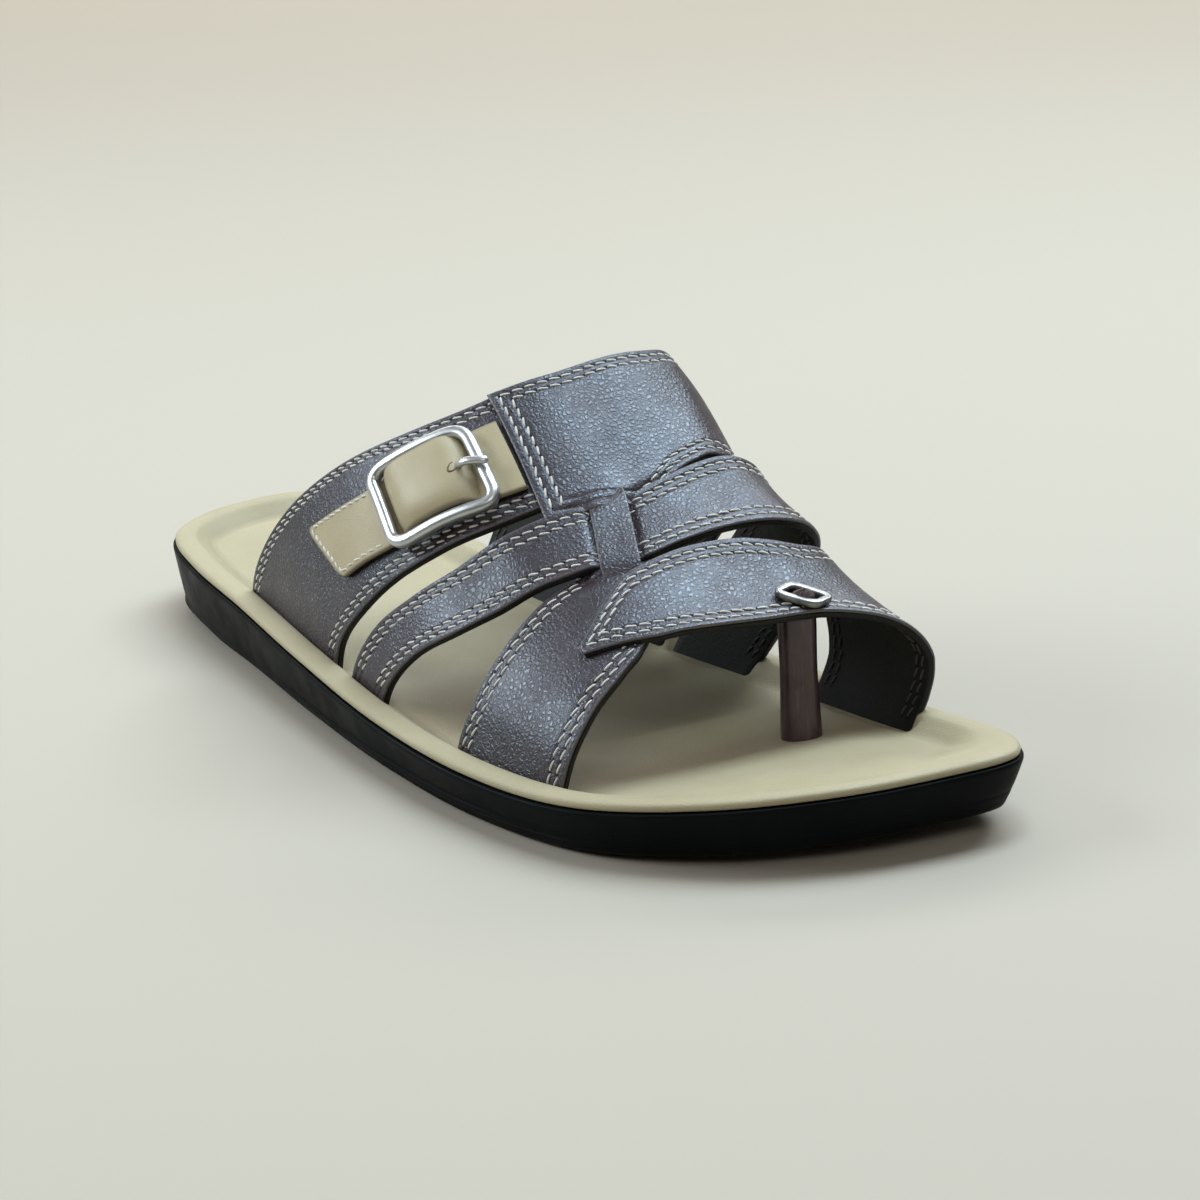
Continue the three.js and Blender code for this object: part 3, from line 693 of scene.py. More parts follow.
def dishShape(p, share):
    cfg = footbed
    x, y = p.T
    cup = cfg["heelCup"] * eased(share, 0, 0.7)
    high, at, wide = cfg["archPad"]
    arch = high * np.exp(-(((x - at) / wide) ** 2)) * eased(y, *cfg["archSide"])
    high, at, wide = cfg["toeRidge"]
    ridge = high * np.exp(-(((x - at + cfg["ridgeSlant"] * y) / wide) ** 2)) * eased(share, 0.1, 0.5)
    return (-cup + arch + ridge) * (1 - cfg["toeFlat"] * toeFade(p))


def footWearAndShade(p):
    # the foot darkens the bed under the instep and behind the ball, and painted shade darkens the same
    # middle under the straps
    cfg = footbed
    x, y = p.T
    across = (y - middleY(x)) / (innerY(x) - outerY(x))
    along = eased(x, *cfg["wearShadeStart"]) * (1 - eased(x, *cfg["wearShadeEnd"]))
    return along * (1 - eased(np.abs(across), *cfg["wearShadeSide"]))


def nearInset(inset, at, wide):
    return eased(-abs(inset - at), -wide, 0)


def makeFootbed():
    cfg = footbed
    rings = []
    crease = []
    for inset, height in cfg["side"]:
        rings.append(overRim(insetRing(inset), height))
        crease.append(np.zeros(len(edge)))
    for inset in np.concatenate([np.arange(*cfg["rimInsets"]), np.arange(*cfg["stepInsets"])]):
        p = insetRing(inset)
        grip = rootGrip(p)
        rise = mixed(curve(cfg["open"], 1, inset), curve(cfg["gripped"], 1, inset), grip)
        fade = toeFade(p) * eased(inset, *cfg["fadeInset"])
        rise = mixed(rise, 0.1 - 0.03 * inset, fade)  # nearly level round the toe
        rings.append(overRim(p, rise))
        # the crease mask: painted shade along the step into the dish and in the slots beside the strap
        # roots
        fold = nearInset(inset, *cfg["foldShade"]) * 0.5 * (1 - grip) * (1 - fade)
        crease.append(np.maximum(fold, grip * nearInset(inset, *cfg["slotShade"])))
    inner = insetRing(cfg["dishInset"])
    middle = spinePoint(inner)
    for share in np.linspace(0, 1, cfg["dishRings"])[1:]:
        p = mixed(inner, middle, share)
        level = -0.42 - 0.6 * eased(share, 0, 0.8)
        floor = mixed(-cfg["dishDepth"], level, toeFade(p))
        rings.append(overRim(p, floor + dishShape(p, share)))
        crease.append(np.zeros(len(edge)))
    points = np.concatenate(rings)
    faces = ringFaces(len(rings), len(edge))[:, ::-1]
    values = {"crease": np.concatenate(crease), "worn": footWearAndShade(points[:, :2])}
    piece = makePiece("footbed_cover", points, faces, [beige], values=values)
    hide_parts("footbed")


makeFootbed()
print("footbed made")

# Straps

leatherStrap = {
    "thick": 2.2, "liningThick": 1.45, "edgeRound": 0.38,
    "stitchRows": (2.1, 4.3), "stitchDepth": 0.2, "grooveWide": 0.42, "edgePad": 0.1,
    "zone": [  # distances in from an edge, closer where the shape turns
        0, 0.06, 0.16, 0.3, 0.48, 0.7, 0.95, 1.3, 1.65, 1.9, 2.1, 2.3, 2.55, 2.9, 3.3, 3.7, 4.0,
        4.2, 4.4, 4.65, 5, 5.6, 6.5,
    ],
    "zoneShare": 0.47,  # most of the width that one edge's zone takes
    "middle": 15, "under": 12,
    "leatherEdge": [(0, 0.22), (0.04, 0.1), (0.12, 0), (-0.26, -0.08)],  # inset, height over the seam
    "liningEdge": [(-0.3, 0.45), (-0.2, 0.12), (0.1, 0)],  # inset, height over the underside
    "creaseEase": 6,
}

# A strap has a row for each station round the last: t from the outer root to the inner one,
# back edge, front edge, lift. A crease has its place along, start and end across, width, depth.
straps = {
    "buckle_band": {
        "rows": [
            (0, -76, -22, 0), (0.05, -73.8, -19.2, 0), (0.1, -67.2, -10.5, 0), (0.15, -56.5, -1.4, 0),
            (0.2, -41.2, 8.4, 0), (0.26, -19.9, 19.1, 0), (0.31, -8.2, 25.6, 0), (0.37, 0.5, 31, 0),
        ],
        "steps": 190,
        "creases": [(0.12, 0.25, 1.0, 4.5, 0.16), (0.2, 0.0, 0.5, 5.5, 0.14)],
        "stitches": [("back", 0.035, 0.36), ("front", 0.035, 0.345)],
    },
    "vamp": {
        "rows": [
            (0.3, -10.5, 29.5, 1.6), (0.34, -3.5, 33.8, 1.6), (0.38, 1.5, 37.5, 1.3),
            (0.42, 4.8, 41, 0.4), (0.47, 6.7, 37.2, 0), (0.53, 7.5, 35.2, 0), (0.58, 6.2, 34.8, 0),
            (0.64, 3, 34, 0), (0.72, -9, 31, 0), (0.82, -34, 24, 0), (0.92, -53, 15, 0), (1, -60, 10.5, 0),
        ],
        "ends": (0.342, 0.308, 1, 1),
        "finished": ("start",),
        "steps": 240,
        "creases": [
            (0.16, 0.2, 0.9, 6, 0.18), (0.3, 0.3, 1.0, 7, 0.22), (0.42, 0.2, 0.8, 6, 0.15),
            (0.72, 0.1, 0.9, 8, 0.25),
        ],
        "stitches": [("back", 0.35, 0.965), ("start", 0.0, 0.93), ("front", 0.447, 0.965)],
    },
    "cross_strap": {
        "rows": [
            (0, -13.5, 3, 0), (0.05, -9.4, 6.6, 0), (0.1, -2.6, 14.2, 0), (0.15, 7, 24.6, 0),
            (0.2, 16, 33, 0), (0.26, 23.7, 40.6, 0), (0.32, 30.2, 47.8, 0), (0.38, 36.4, 53.6, 0.1),
            (0.43, 37.9, 55.6, 0.9), (0.5, 37.5, 56.9, 1.6), (0.57, 37.2, 58, 2.6),
            (0.64, 36.8, 58.6, 3.2), (0.72, 34.2, 57.4, 2.8), (0.82, 27.5, 52.6, 1.4),
            (0.92, 19.5, 46, 0), (1, 14.5, 39, 0),
        ],
        "steps": 320,
        "creases": [(0.07, 0.1, 0.9, 3.5, 0.18), (0.5, 0.2, 1.0, 5, 0.2), (0.66, 0.1, 0.9, 5, 0.2)],
        "stitches": [("back", 0.04, 0.965), ("front", 0.04, 0.965)],
    },
    "ball_strap": {
        "rows": [
            (0, 39, 74, 0), (0.05, 39.3, 75, 0), (0.1, 40.6, 75.4, 0), (0.15, 41.2, 75.6, 0),
            (0.2, 42, 75.3, 0), (0.245, 43, 75.1, 0), (0.279, 44, 74.4, 0), (0.31, 45.2, 73.4, 0),
            (0.36, 48.5, 69, 0), (0.39, 50.5, 65, 0),
        ],
        "steps": 170,
        "creases": [(0.16, 0.1, 0.9, 4.5, 0.2), (0.62, 0.2, 1.0, 5, 0.16)],
        "stitches": [("back", 0.04, 0.3), ("front", 0.04, 0.35)],
    },
    "toe_strap": {
        "rows": [
            (0.244, 62.4, 64.7, 1.6), (0.265, 61.3, 66.9, 1.6), (0.29, 59.5, 69.3, 1.6),
            (0.32, 57.3, 72.1, 1.6), (0.345, 56, 74.3, 1.6), (0.37, 56.4, 76, 1.6),
            (0.42, 57.4, 79.4, 1.2), (0.48, 59.4, 82.6, 0.8), (0.55, 62, 84.8, 0.7),
            (0.61, 63.6, 87.9, 0.6), (0.67, 62.8, 90.9, 0.5), (0.72, 61, 93.8, 0.4), (0.8, 59.2, 97.8, 0.2),
            (0.84, 59.6, 98.4, 0.08), (0.87, 61.2, 98.6, 0), (0.9, 62.8, 98.4, 0), (0.93, 63.6, 98, 0),
            (1, 61.5, 96, 0),
        ],
        "finished": ("start",),
        "steps": 280,
        "creases": [
            (0.3, 0.2, 0.9, 6, 0.2), (0.36, 0.1, 0.8, 3, 0.14), (0.6, 0.2, 1.0, 7, 0.2),
            (0.74, 0.1, 0.9, 6, 0.25),
        ],
        "stitches": [("back", 0.25, 0.965), ("front", 0.25, 0.965)],
    },
}

tab = {
    "rows": [(0.3, 24, 62, 0), (0.42, 24, 62, 0)],
    "ends": (0.374, 0.306, 0.417, 0.362),
    "finished": ("start", "end"),
    "plain": True,
    "make": {"liningThick": 1.75, "edgeRound": 0.25},
    "steps": 44,
    "creases": [(0.5, 0.5, 0.75, 3, 0.12)],
    "rise": (34, 37), "over": 1.6, "step": 0.1, "fall": (0.4, 5.0),
    "sunkBack": 1.0, "backEase": (33.5, 37.5), "sunkFront": 1.0, "frontEase": (2.5, 6.5),
}

layers = {
    # the vamp's outer corner goes down under the cross strap, and so does its edge beside the tab
    "tuck": 1.2, "tuckRun": (29.5, 33.5), "tuckEnd": (0.34, 0.365),
    "flank": 1.0, "flankRun": (35.5, 38.5), "flankStart": (0.388, 0.403), "flankEnd": (0.44, 0.475),
    # the cross strap stands over the ball strap before the tab, and goes down under the tab's sides
    "crossRise": 1.4, "overStart": (0.2, 0.27), "overEnd": (0.345, 0.39),
    "slit": 1.0, "slitWide": 0.006,
    # the ball strap comes out from under the cross strap, and its end is hidden under the tab
    "dive": 1.7, "diveRun": (-1, 6), "diveEnd": (0.303, 0.325),
    "ballEnd": 1.2, "ballEndRun": (0.355, 0.37),
}


def tabRise(x, t, w):
    # off the vamp, over the cross strap, down to the ball strap, with both ends sunk in
    cfg = tab
    on = eased(x, *cfg["rise"])
    up = mixed(curve(straps["vamp"]["rows"], 3, t), cfg["over"], on) + cfg["step"] * on
    ahead = x - curve(straps["cross_strap"]["rows"], 2, t)
    sunk = cfg["sunkBack"] * (1 - eased(x, *cfg["backEase"]))
    sunk = sunk + cfg["sunkFront"] * eased(ahead, *cfg["frontEase"])
    return up * (1 - eased(ahead, *cfg["fall"])) - sunk


def vampTuck(x, t, w):
    cfg = layers
    outer = cfg["tuck"] * eased(x, *cfg["tuckRun"]) * (1 - eased(t, *cfg["tuckEnd"]))
    flank = cfg["flank"] * eased(x, *cfg["flankRun"]) * eased(t, *cfg["flankStart"])
    return -outer - flank * (1 - eased(t, *cfg["flankEnd"]))


def crossOver(x, t, w):
    cfg = layers
    (back, front), (outerBack, outerFront, innerBack, innerFront) = tab["rows"][0][1:3], tab["ends"]
    along = (x - back) / (front - back)
    slits = [t - mixed(outerBack, outerFront, along), t - mixed(innerBack, innerFront, along)]
    dip = cfg["slit"] * sum(np.exp(-((far / cfg["slitWide"]) ** 2)) for far in slits)
    return cfg["crossRise"] * eased(t, *cfg["overStart"]) * (1 - eased(t, *cfg["overEnd"])) - dip


def ballDive(x, t, w):
    cfg = layers
    ahead = x - curve(straps["cross_strap"]["rows"], 2, t)
    dive = cfg["dive"] * (1 - eased(ahead, *cfg["diveRun"])) * eased(t, *cfg["overStart"])
    return -dive * (1 - eased(t, *cfg["diveEnd"])) - cfg["ballEnd"] * eased(t, *cfg["ballEndRun"])


tab["lifted"] = tabRise
straps["vamp"]["lifted"] = vampTuck
straps["cross_strap"]["lifted"] = crossOver
straps["ball_strap"]["lifted"] = ballDive
straps["tab"] = tab


def howMade(strap):
    return {**leatherStrap, **strap.get("make", {})}


def finished(strap, end):
    return end in strap.get("finished", ())


def strapEnds(strap):
    # t at the start and at the end, each on the back edge and the front edge
    first, final = strap["rows"][0][0], strap["rows"][-1][0]
    return strap.get("ends", (first, first, final, final))


def strapAt(strap, s, w):
    rows = strap["rows"]
    startBack, startFront, endBack, endFront = strapEnds(strap)
    start = mixed(startBack, startFront, w)
    if "corner" in strap:  # rounds both corners of the cut end
        share, depth = strap["corner"]
        off = np.clip(1 - np.minimum(w, 1 - w) / share, 0, 1)
        start = start + depth * (1 - np.sqrt(1 - off * off))
    t = mixed(start, mixed(endBack, endFront, w), s)
    x = mixed(curve(rows, 1, t), curve(rows, 2, t), w)
    lift = curve(rows, 3, t)
    if "lifted" in strap:
        lift = lift + strap["lifted"](x, t, w)
    return x, t, lift


def strapPoint(strap, s, w, height):
    x, t, lift = strapAt(strap, s, w)
    return above(x, t, lift + height)


def strapWidth(strap, s):
    p = strapPoint(strap, np.asarray(s)[:, None], np.linspace(0, 1, 13), 2.0)
    return np.linalg.norm(np.diff(p, axis=1), axis=2).sum(axis=1)


def strapLength(strap, w):
    p = strapPoint(strap, np.linspace(0, 1, 121)[:, None], np.asarray(w)[None, :], 2.0)
    return np.linalg.norm(np.diff(p, axis=0), axis=2).sum(axis=0)


def stations(strap, zone):
    # even steps along, closer at a finished end
    near = zone / strapLength(strap, [0.5])[0]
    s = np.linspace(0, 1, strap["steps"] + 1)
    spare = near[-1] + 0.3 / strap["steps"]
    if finished(strap, "start"):
        s = np.concatenate([near, s[s > spare]])
    if finished(strap, "end"):
        s = np.concatenate([s[s < 1 - spare], (1 - near)[::-1]])
    return s


creaseForm = {"wave": 0.012, "waves": 6, "fade": (0.18, 0.12), "ridge": 0.5, "ridgeAt": 1.7}


def creaseDepth(strap, s, w):
    # a shallow valley with a low ridge after it
    cfg = creaseForm
    out, into = cfg["fade"]
    length = strapLength(strap, [0.5])[0]
    depth = np.zeros(np.broadcast(s, w).shape)
    for at, low, high, wide, deep in strap.get("creases", ()):
        far = (s - at - cfg["wave"] * np.sin(cfg["waves"] * w)) * length / wide
        across = eased(w, low - out, low + into) * eased(-w, -high - out, -high + into)
        form = np.exp(-(far**2)) - cfg["ridge"] * np.exp(-((far - cfg["ridgeAt"]) ** 2))
        depth += deep * form * across
    return depth


def makeStrap(name, strap, finishes):
    make = howMade(strap)
    zone = np.array(make["zone"])
    s = stations(strap, zone)
    width = strapWidth(strap, s)[:, None]
    s = s[:, None]
    wBack = zone * np.minimum(1, make["zoneShare"] * width / zone[-1]) / width
    share = np.linspace(0, 1, make["middle"] + 2)[1:-1]
    wMiddle = mixed(wBack[:, -1:], 1 - wBack[:, -1:], share)
    wTop = np.concatenate([wBack, wMiddle, 1 - wBack[:, ::-1]], axis=1)
    quarters = np.linspace(0, 1, 5)
    length = np.interp(wTop, quarters, strapLength(strap, quarters))
    far = np.minimum(wTop, 1 - wTop) * width
    if finished(strap, "start"):
        far = np.minimum(far, s * length)
    if finished(strap, "end"):
        far = np.minimum(far, (1 - s) * length)
    r = make["edgeRound"]
    drop = r - np.sqrt(np.maximum(0, r * r - (r - np.minimum(far, r)) ** 2))
    if not strap.get("plain"):
        for row in make["stitchRows"]:
            drop = drop + make["stitchDepth"] * np.exp(-(((far - row) / make["grooveWide"]) ** 2))
        drop = drop - make["edgePad"] * np.sin(np.clip(far / make["stitchRows"][0], 0, 1) * math.pi)
    drop = drop + creaseDepth(strap, s, wTop) * eased(far, 0, make["creaseEase"])
    # edge: leather, a fine groove, then the lining
    seam = make["liningThick"]
    side = [(inset, seam + height) for inset, height in make["leatherEdge"]] + make["liningEdge"]
    inset, height = np.array(side).T
    inset = inset / width
    height = np.broadcast_to(height, inset.shape)
    share = np.linspace(0, 1, make["under"] + 2)[1:-1]
    wUnder = mixed(1 - inset[:, -1:], inset[:, -1:], share)
    w = np.concatenate([wTop, 1 - inset, wUnder, inset[:, ::-1]], axis=1)
    heights = [make["thick"] - drop, height, np.zeros_like(wUnder), height[:, ::-1]]
    points = strapPoint(strap, s, w, np.concatenate(heights, axis=1)).reshape(-1, 3)
    rows, around = w.shape
    topCount = wTop.shape[1]
    slots = np.zeros((rows - 1, around), int)
    slots[:, topCount + 2 : around - 3] = 1  # lining from seam to seam
    edgeDistance = np.zeros(w.shape)
    edgeDistance[:, :topCount] = far
    return makePiece(
        name, points, outward(points, tubeFaces(rows, around)), finishes,
        np.concatenate([slots.ravel(), [1, 1]]), {"edgeDistance": edgeDistance.ravel()}, 55,
    )


for name, strap in straps.items():
    piece = makeStrap(name, strap, [leather, lining])
    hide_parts("upper")
print("straps made:", ", ".join(straps))

# Stitches

stitch = {
    "pitch": 3.1, "gap": 0.2, "radius": 0.3, "thinEnd": 0.55,
    "rise": 0.13, "dip": 0.26, "riseJitter": 0.15,
    "slant": 0.2, "slantJitter": 0.05,
    "stations": 7, "around": 6, "linePoints": 700,
    "holeLong": 0.42, "holeWide": 0.2, "holeSlant": 0.6, "holeUp": 0.05, "holeAround": 8,
    "narrow": 1.7,  # no stitches where the strap is narrower than this many times their distance
}


def edgeLine(strap, side, start, end, distance, under):
    # a line at one distance in from a strap's edge, as points and normals of its top or its lining
    count = stitch["linePoints"]
    if side == "start":
        w = np.linspace(start, end, count)
        w = w[w >= distance / strapWidth(strap, [0.02])[0]]
        s = distance / strapLength(strap, w)
    else:
        first, _, final, _ = strapEnds(strap)
        s = np.linspace((start - first) / (final - first), (end - first) / (final - first), count)
        if finished(strap, "start") and side == "back":
            s = s[s >= distance / strapLength(strap, [0.0])[0]]
        width = strapWidth(strap, s)
        wide = width > stitch["narrow"] * distance
        s, w = s[wide], distance / width[wide]
        if side == "front":
            w = 1 - w
    x, t, lift = strapAt(strap, s, w)
    if under:
        return above(x, t, lift), -lastNormal(x, t)
    make = howMade(strap)
    return above(x, t, lift + make["thick"] - make["stitchDepth"]), lastNormal(x, t)


def edgeLines(strap, under=False):
    return [
        edgeLine(strap, *row, distance, under)
        for row in strap.get("stitches", ()) for distance in howMade(strap)["stitchRows"]
    ]


def stitchLine(points, normals, random, cfg):
    run = runOf(points)
    count = int(run[-1] / cfg["pitch"])
    pitch = run[-1] / count

    def read(values, at):
        return np.stack([np.interp(at, run, values[:, k]) for k in range(3)], axis=-1)

    def runAt(at):
        return unit(read(points, at + 0.05) - read(points, at - 0.05))

    u = np.linspace(0, 1, cfg["stations"])
    at = np.arange(count)[:, None] * pitch + cfg["gap"] / 2 + u * (pitch - cfg["gap"])
    up = unit(read(normals, at))
    across = unit(np.cross(runAt(at), up))
    slant = cfg["slant"] + cfg["slantJitter"] * random.standard_normal((count, 1))
    lift = mixed(-cfg["dip"], cfg["rise"], np.sin(math.pi * u) ** 0.4)
    lift = lift * (1 + cfg["riseJitter"] * random.standard_normal((count, 1)))
    centre = read(points, at) + up * lift[..., None] + across * ((u - 0.5) * slant * pitch)[..., None]
    radius = cfg["radius"] * mixed(cfg["thinEnd"], 1, np.sin(math.pi * u) ** 0.5)
    angle = circle(cfg["around"])[:, None]
    ring = across[..., None, :] * np.cos(angle) + up[..., None, :] * np.sin(angle)
    tube = centre[..., None, :] + ring * radius[:, None, None]
    holeAt = np.arange(count + 1) * pitch
    return tube, read(points, holeAt), unit(read(normals, holeAt)), runAt(holeAt)


def makeStitches(name, lines, seed, finish, slotName, **changes):
    cfg = {**stitch, **changes}
    random = np.random.default_rng(seed)
    made = [stitchLine(points, normals, random, cfg) for points, normals in lines]
    tubes, centre, up, run = (np.concatenate(parts) for parts in zip(*made))
    count, levels, around, _ = tubes.shape
    tube = tubeFaces(levels, around)
    faces = [[v + k * levels * around for v in face] for k in range(count) for face in tube]
    threadPiece = makePiece(name, tubes.reshape(-1, 3), faces, [finish])
    # painted shade: a flat dark mark at each needle hole
    slanted = unit(unit(np.cross(run, up)) + cfg["holeSlant"] * run)[:, None]
    square = unit(np.cross(slanted, up[:, None]))
    angle = circle(cfg["holeAround"])[:, None]
    rim = slanted * cfg["holeLong"] * np.cos(angle) + square * cfg["holeWide"] * np.sin(angle)
    holePoints = ((centre + up * cfg["holeUp"])[:, None] + rim).reshape(-1, 3)
    holeFaces = np.arange(len(holePoints)).reshape(-1, cfg["holeAround"])
    holePiece = makePiece(name + "_holes", holePoints, holeFaces, [holeShade])
    return count


for name, under, seed, finish in (
    ("strap_stitches", False, 11, thread), ("lining_stitches", True, 13, liningThread),
):
    lines = [line for strap in straps.values() for line in edgeLines(strap, under)]
    print(name, "made:", makeStitches(name, lines, seed, finish, "brown_leather"))

# Buckle strap

buckleStrap = {
    "rows": [
        (0.11, -51, -20.3, 0), (0.14, -41.3, -12.6, 0), (0.17, -30.3, -5, 0), (0.2, -20.2, 1.2, 0),
        (0.25, -9.2, 10.6, 0), (0.29, -2.4, 18, 0), (0.34, 5, 24.2, 0),
    ],
    "ends": (0.139, 0.113, 0.33, 0.313),
    "finished": ("start",),
    "plain": True,
    "steps": 150,
    "corner": (0.2, 0.006),
    "base": 2.5, "bulge": 4.7, "bulgeBack": 0.257, "bulgeFront": 0.2295, "bulgeReach": 0.0405,
    "bulgeFull": 0.8, "bulgeDrop": (0.06, 0.42), "bulgeNarrow": 0.07,
    "stitches": [("back", 0.142, 0.205), ("start", 0.06, 0.94), ("front", 0.142, 0.19)],
    "make": {
        "thick": 1.7, "liningThick": 0.5, "edgeRound": 0.55, "stitchRows": (1.6,), "stitchDepth": 0.1,
        "zone": [0, 0.06, 0.16, 0.3, 0.5, 0.8, 1.2, 1.6, 2.0, 2.4, 3, 4], "middle": 20,
    },
    "thread": {"pitch": 2.5, "radius": 0.33, "rise": 0.2},
}


def buckleStrapRise(x, t, w):
    # flat on the band, with an arch inside the buckle
    cfg = buckleStrap
    middle = mixed(cfg["bulgeBack"], cfg["bulgeFront"], w)
    side = 2 * w - 1
    reach = cfg["bulgeReach"] * (1 - cfg["bulgeNarrow"] * side**4)
    along = np.maximum(0, 1 - ((t - middle) / reach) ** 4) ** cfg["bulgeFull"]
    drop = np.where(side < 0, *cfg["bulgeDrop"])
    return cfg["base"] + cfg["bulge"] * along * (1 - drop * side**4)


buckleStrap["lifted"] = buckleStrapRise
piece = makeStrap("buckle_strap_leather", buckleStrap, [tan, lining])
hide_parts("buckle_strap")
tanCount = makeStitches(
    "buckle_strap_stitches", edgeLines(buckleStrap), 12, thread, "tan_leather", **buckleStrap["thread"]
)
print("buckle strap made, stitches:", tanCount)

# Buckle

buckle = {
    "corners": [(-18.6, 0.213), (-0.4, 0.178), (19.2, 0.281), (-0.8, 0.302)],
    "round": 0.19, "pathPoints": 26, "around": 28, "power": 2.3,
    "halfWide": 1.65, "halfHigh": 1.5, "lift": 6.2, "flatBelow": 1.25,
    "prong": [  # share of the length, x, t, lift
        (0, 4.8, 0.2725, 7.0), (0.3, 7.2, 0.281, 8.9), (0.7, 10.2, 0.292, 9.0), (1, 11.9, 0.299, 8.5),
    ],
    "prongHalfWide": 1.0, "prongHalfHigh": 0.8, "prongTip": 0.1,
    "prongPoints": 48, "prongAround": 20, "prongPower": 2.4,
    "hole": (4.7, 0.271), "tPerMm": 0.0062, "holeAround": 28,
    "holeRim": [(1.15, -0.1), (1.05, 0.06), (0.95, 0.1), (0.85, 0.05), (0.78, -0.1), (0.72, -0.3)],
}


def roundedPath(corners, share, perCorner, perSide):
    corners = np.array(corners, float)
    path = []
    for k, corner in enumerate(corners):
        before, after = corners[k - 1], corners[(k + 1) % len(corners)]
        start, end = mixed(corner, before, share), mixed(corner, after, share)
        for s in np.linspace(0, 1, perCorner):
            path.append(mixed(mixed(start, corner, s), mixed(corner, end, s), s))
        reach = mixed(after, corner, share)
        for s in np.linspace(0, 1, perSide + 1)[1:-1]:
            path.append(mixed(end, reach, s))
    return np.array(path)


def sweepRows(path, lift, halfWide, halfHigh, around, closed, power, flatBelow=1.0):
    # a bar along a path over the last, its section rounder at a lower power
    centre = above(path[:, 0], path[:, 1], lift)
    if closed:
        run = unit(np.roll(centre, -1, axis=0) - np.roll(centre, 1, axis=0))
    else:
        run = unit(np.gradient(centre, axis=0))
    up = lastNormal(path[:, 0], path[:, 1])
    up = unit(up - run * np.sum(up * run, axis=1)[:, None])
    side = np.cross(run, up)
    angle = circle(around)
    across = np.sign(np.cos(angle)) * np.abs(np.cos(angle)) ** (2 / power)
    high = np.sign(np.sin(angle)) * np.abs(np.sin(angle)) ** (2 / power)
    high = np.where(high < 0, high * flatBelow, high)
    halfWide, halfHigh = np.broadcast_to(halfWide, len(path)), np.broadcast_to(halfHigh, len(path))
    return (
        centre[:, None, :] + side[:, None, :] * (halfWide[:, None] * across)[..., None]
        + up[:, None, :] * (halfHigh[:, None] * high)[..., None]
    )


def makeSweep(name, rows, closed, finish):
    count, around, _ = rows.shape
    points = rows.reshape(-1, 3)
    if closed:
        faces = (ringFaces(count + 1, around) % len(points)).tolist()
    else:
        faces = tubeFaces(count, around)
    return makePiece(name, points, outward(points, faces), [finish])


def makeBuckle():
    cfg = buckle
    path = roundedPath(cfg["corners"], cfg["round"], cfg["pathPoints"], cfg["pathPoints"])
    rows = sweepRows(
        path, cfg["lift"], cfg["halfWide"], cfg["halfHigh"], cfg["around"], True,
        cfg["power"], cfg["flatBelow"],
    )
    frameRing = makeSweep("buckle_ring", rows, True, steel)
    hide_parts("buckle_frame")
    s = np.linspace(0, 1, cfg["prongPoints"])
    x, t, lift = (curve(cfg["prong"], column, s) for column in (1, 2, 3))
    tip = np.sqrt(np.clip((1.001 - s) / cfg["prongTip"], 0, 1))
    rows = sweepRows(
        np.column_stack([x, t]), lift, cfg["prongHalfWide"] * tip, cfg["prongHalfHigh"] * tip,
        cfg["prongAround"], False, cfg["prongPower"],
    )
    prong = makeSweep("prong", rows, False, steel)
    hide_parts("buckle_prong")


def makeProngHole():
    # a hole in the buckle strap with a pressed rim, closed below by a cap in painted shade
    cfg = buckle
    x, t = cfg["hole"]
    back, front = curve(buckleStrap["rows"], 1, t), curve(buckleStrap["rows"], 2, t)
    count = cfg["holeAround"]
    angle = circle(count)
    rings = []
    for radius, rise in cfg["holeRim"]:
        hx = x + radius * np.cos(angle)
        ht = t + radius * np.sin(angle) * cfg["tPerMm"]
        lift = buckleStrapRise(hx, ht, (hx - back) / (front - back)) + buckleStrap["make"]["thick"]
        rings.append(above(hx, ht, lift + rise))
    faces = ringFaces(len(rings), count)[:, ::-1].tolist()
    slots = [0] * len(faces) + [1]
    faces.append([(len(rings) - 1) * count + k for k in range(count)])
    piece = makePiece("prong_hole", np.concatenate(rings), faces, [holeLeather, holeShade], slots)


makeBuckle()
makeProngHole()
print("buckle made")

# Toe post, ring and knob

toePost = {
    "base": (81.5, 20.5), "top": (79.5, 21.0), "sunk": 0.3, "headRise": 0.1,
    "radius": 4.5, "flare": 0.3, "swell": 0.12, "lobe": 0.08,
    "around": 96, "levels": 70,
    "seamDepth": 0.35, "seamWide": 0.1, "seamAt": 2.4, "seamTwist": 0.5,
}


def toeLift(t):
    return curve(straps["toe_strap"]["rows"], 3, t)


def tAtY(x, y):
    # t where the last has this y, found by halving
    low, high = np.full_like(x, 0.3), np.full_like(x, 0.7)
    for _ in range(30):
        middle = (low + high) / 2
        before = lastPoint(x, middle)[..., 1] < y
        low, high = np.where(before, middle, low), np.where(before, high, middle)
    return low


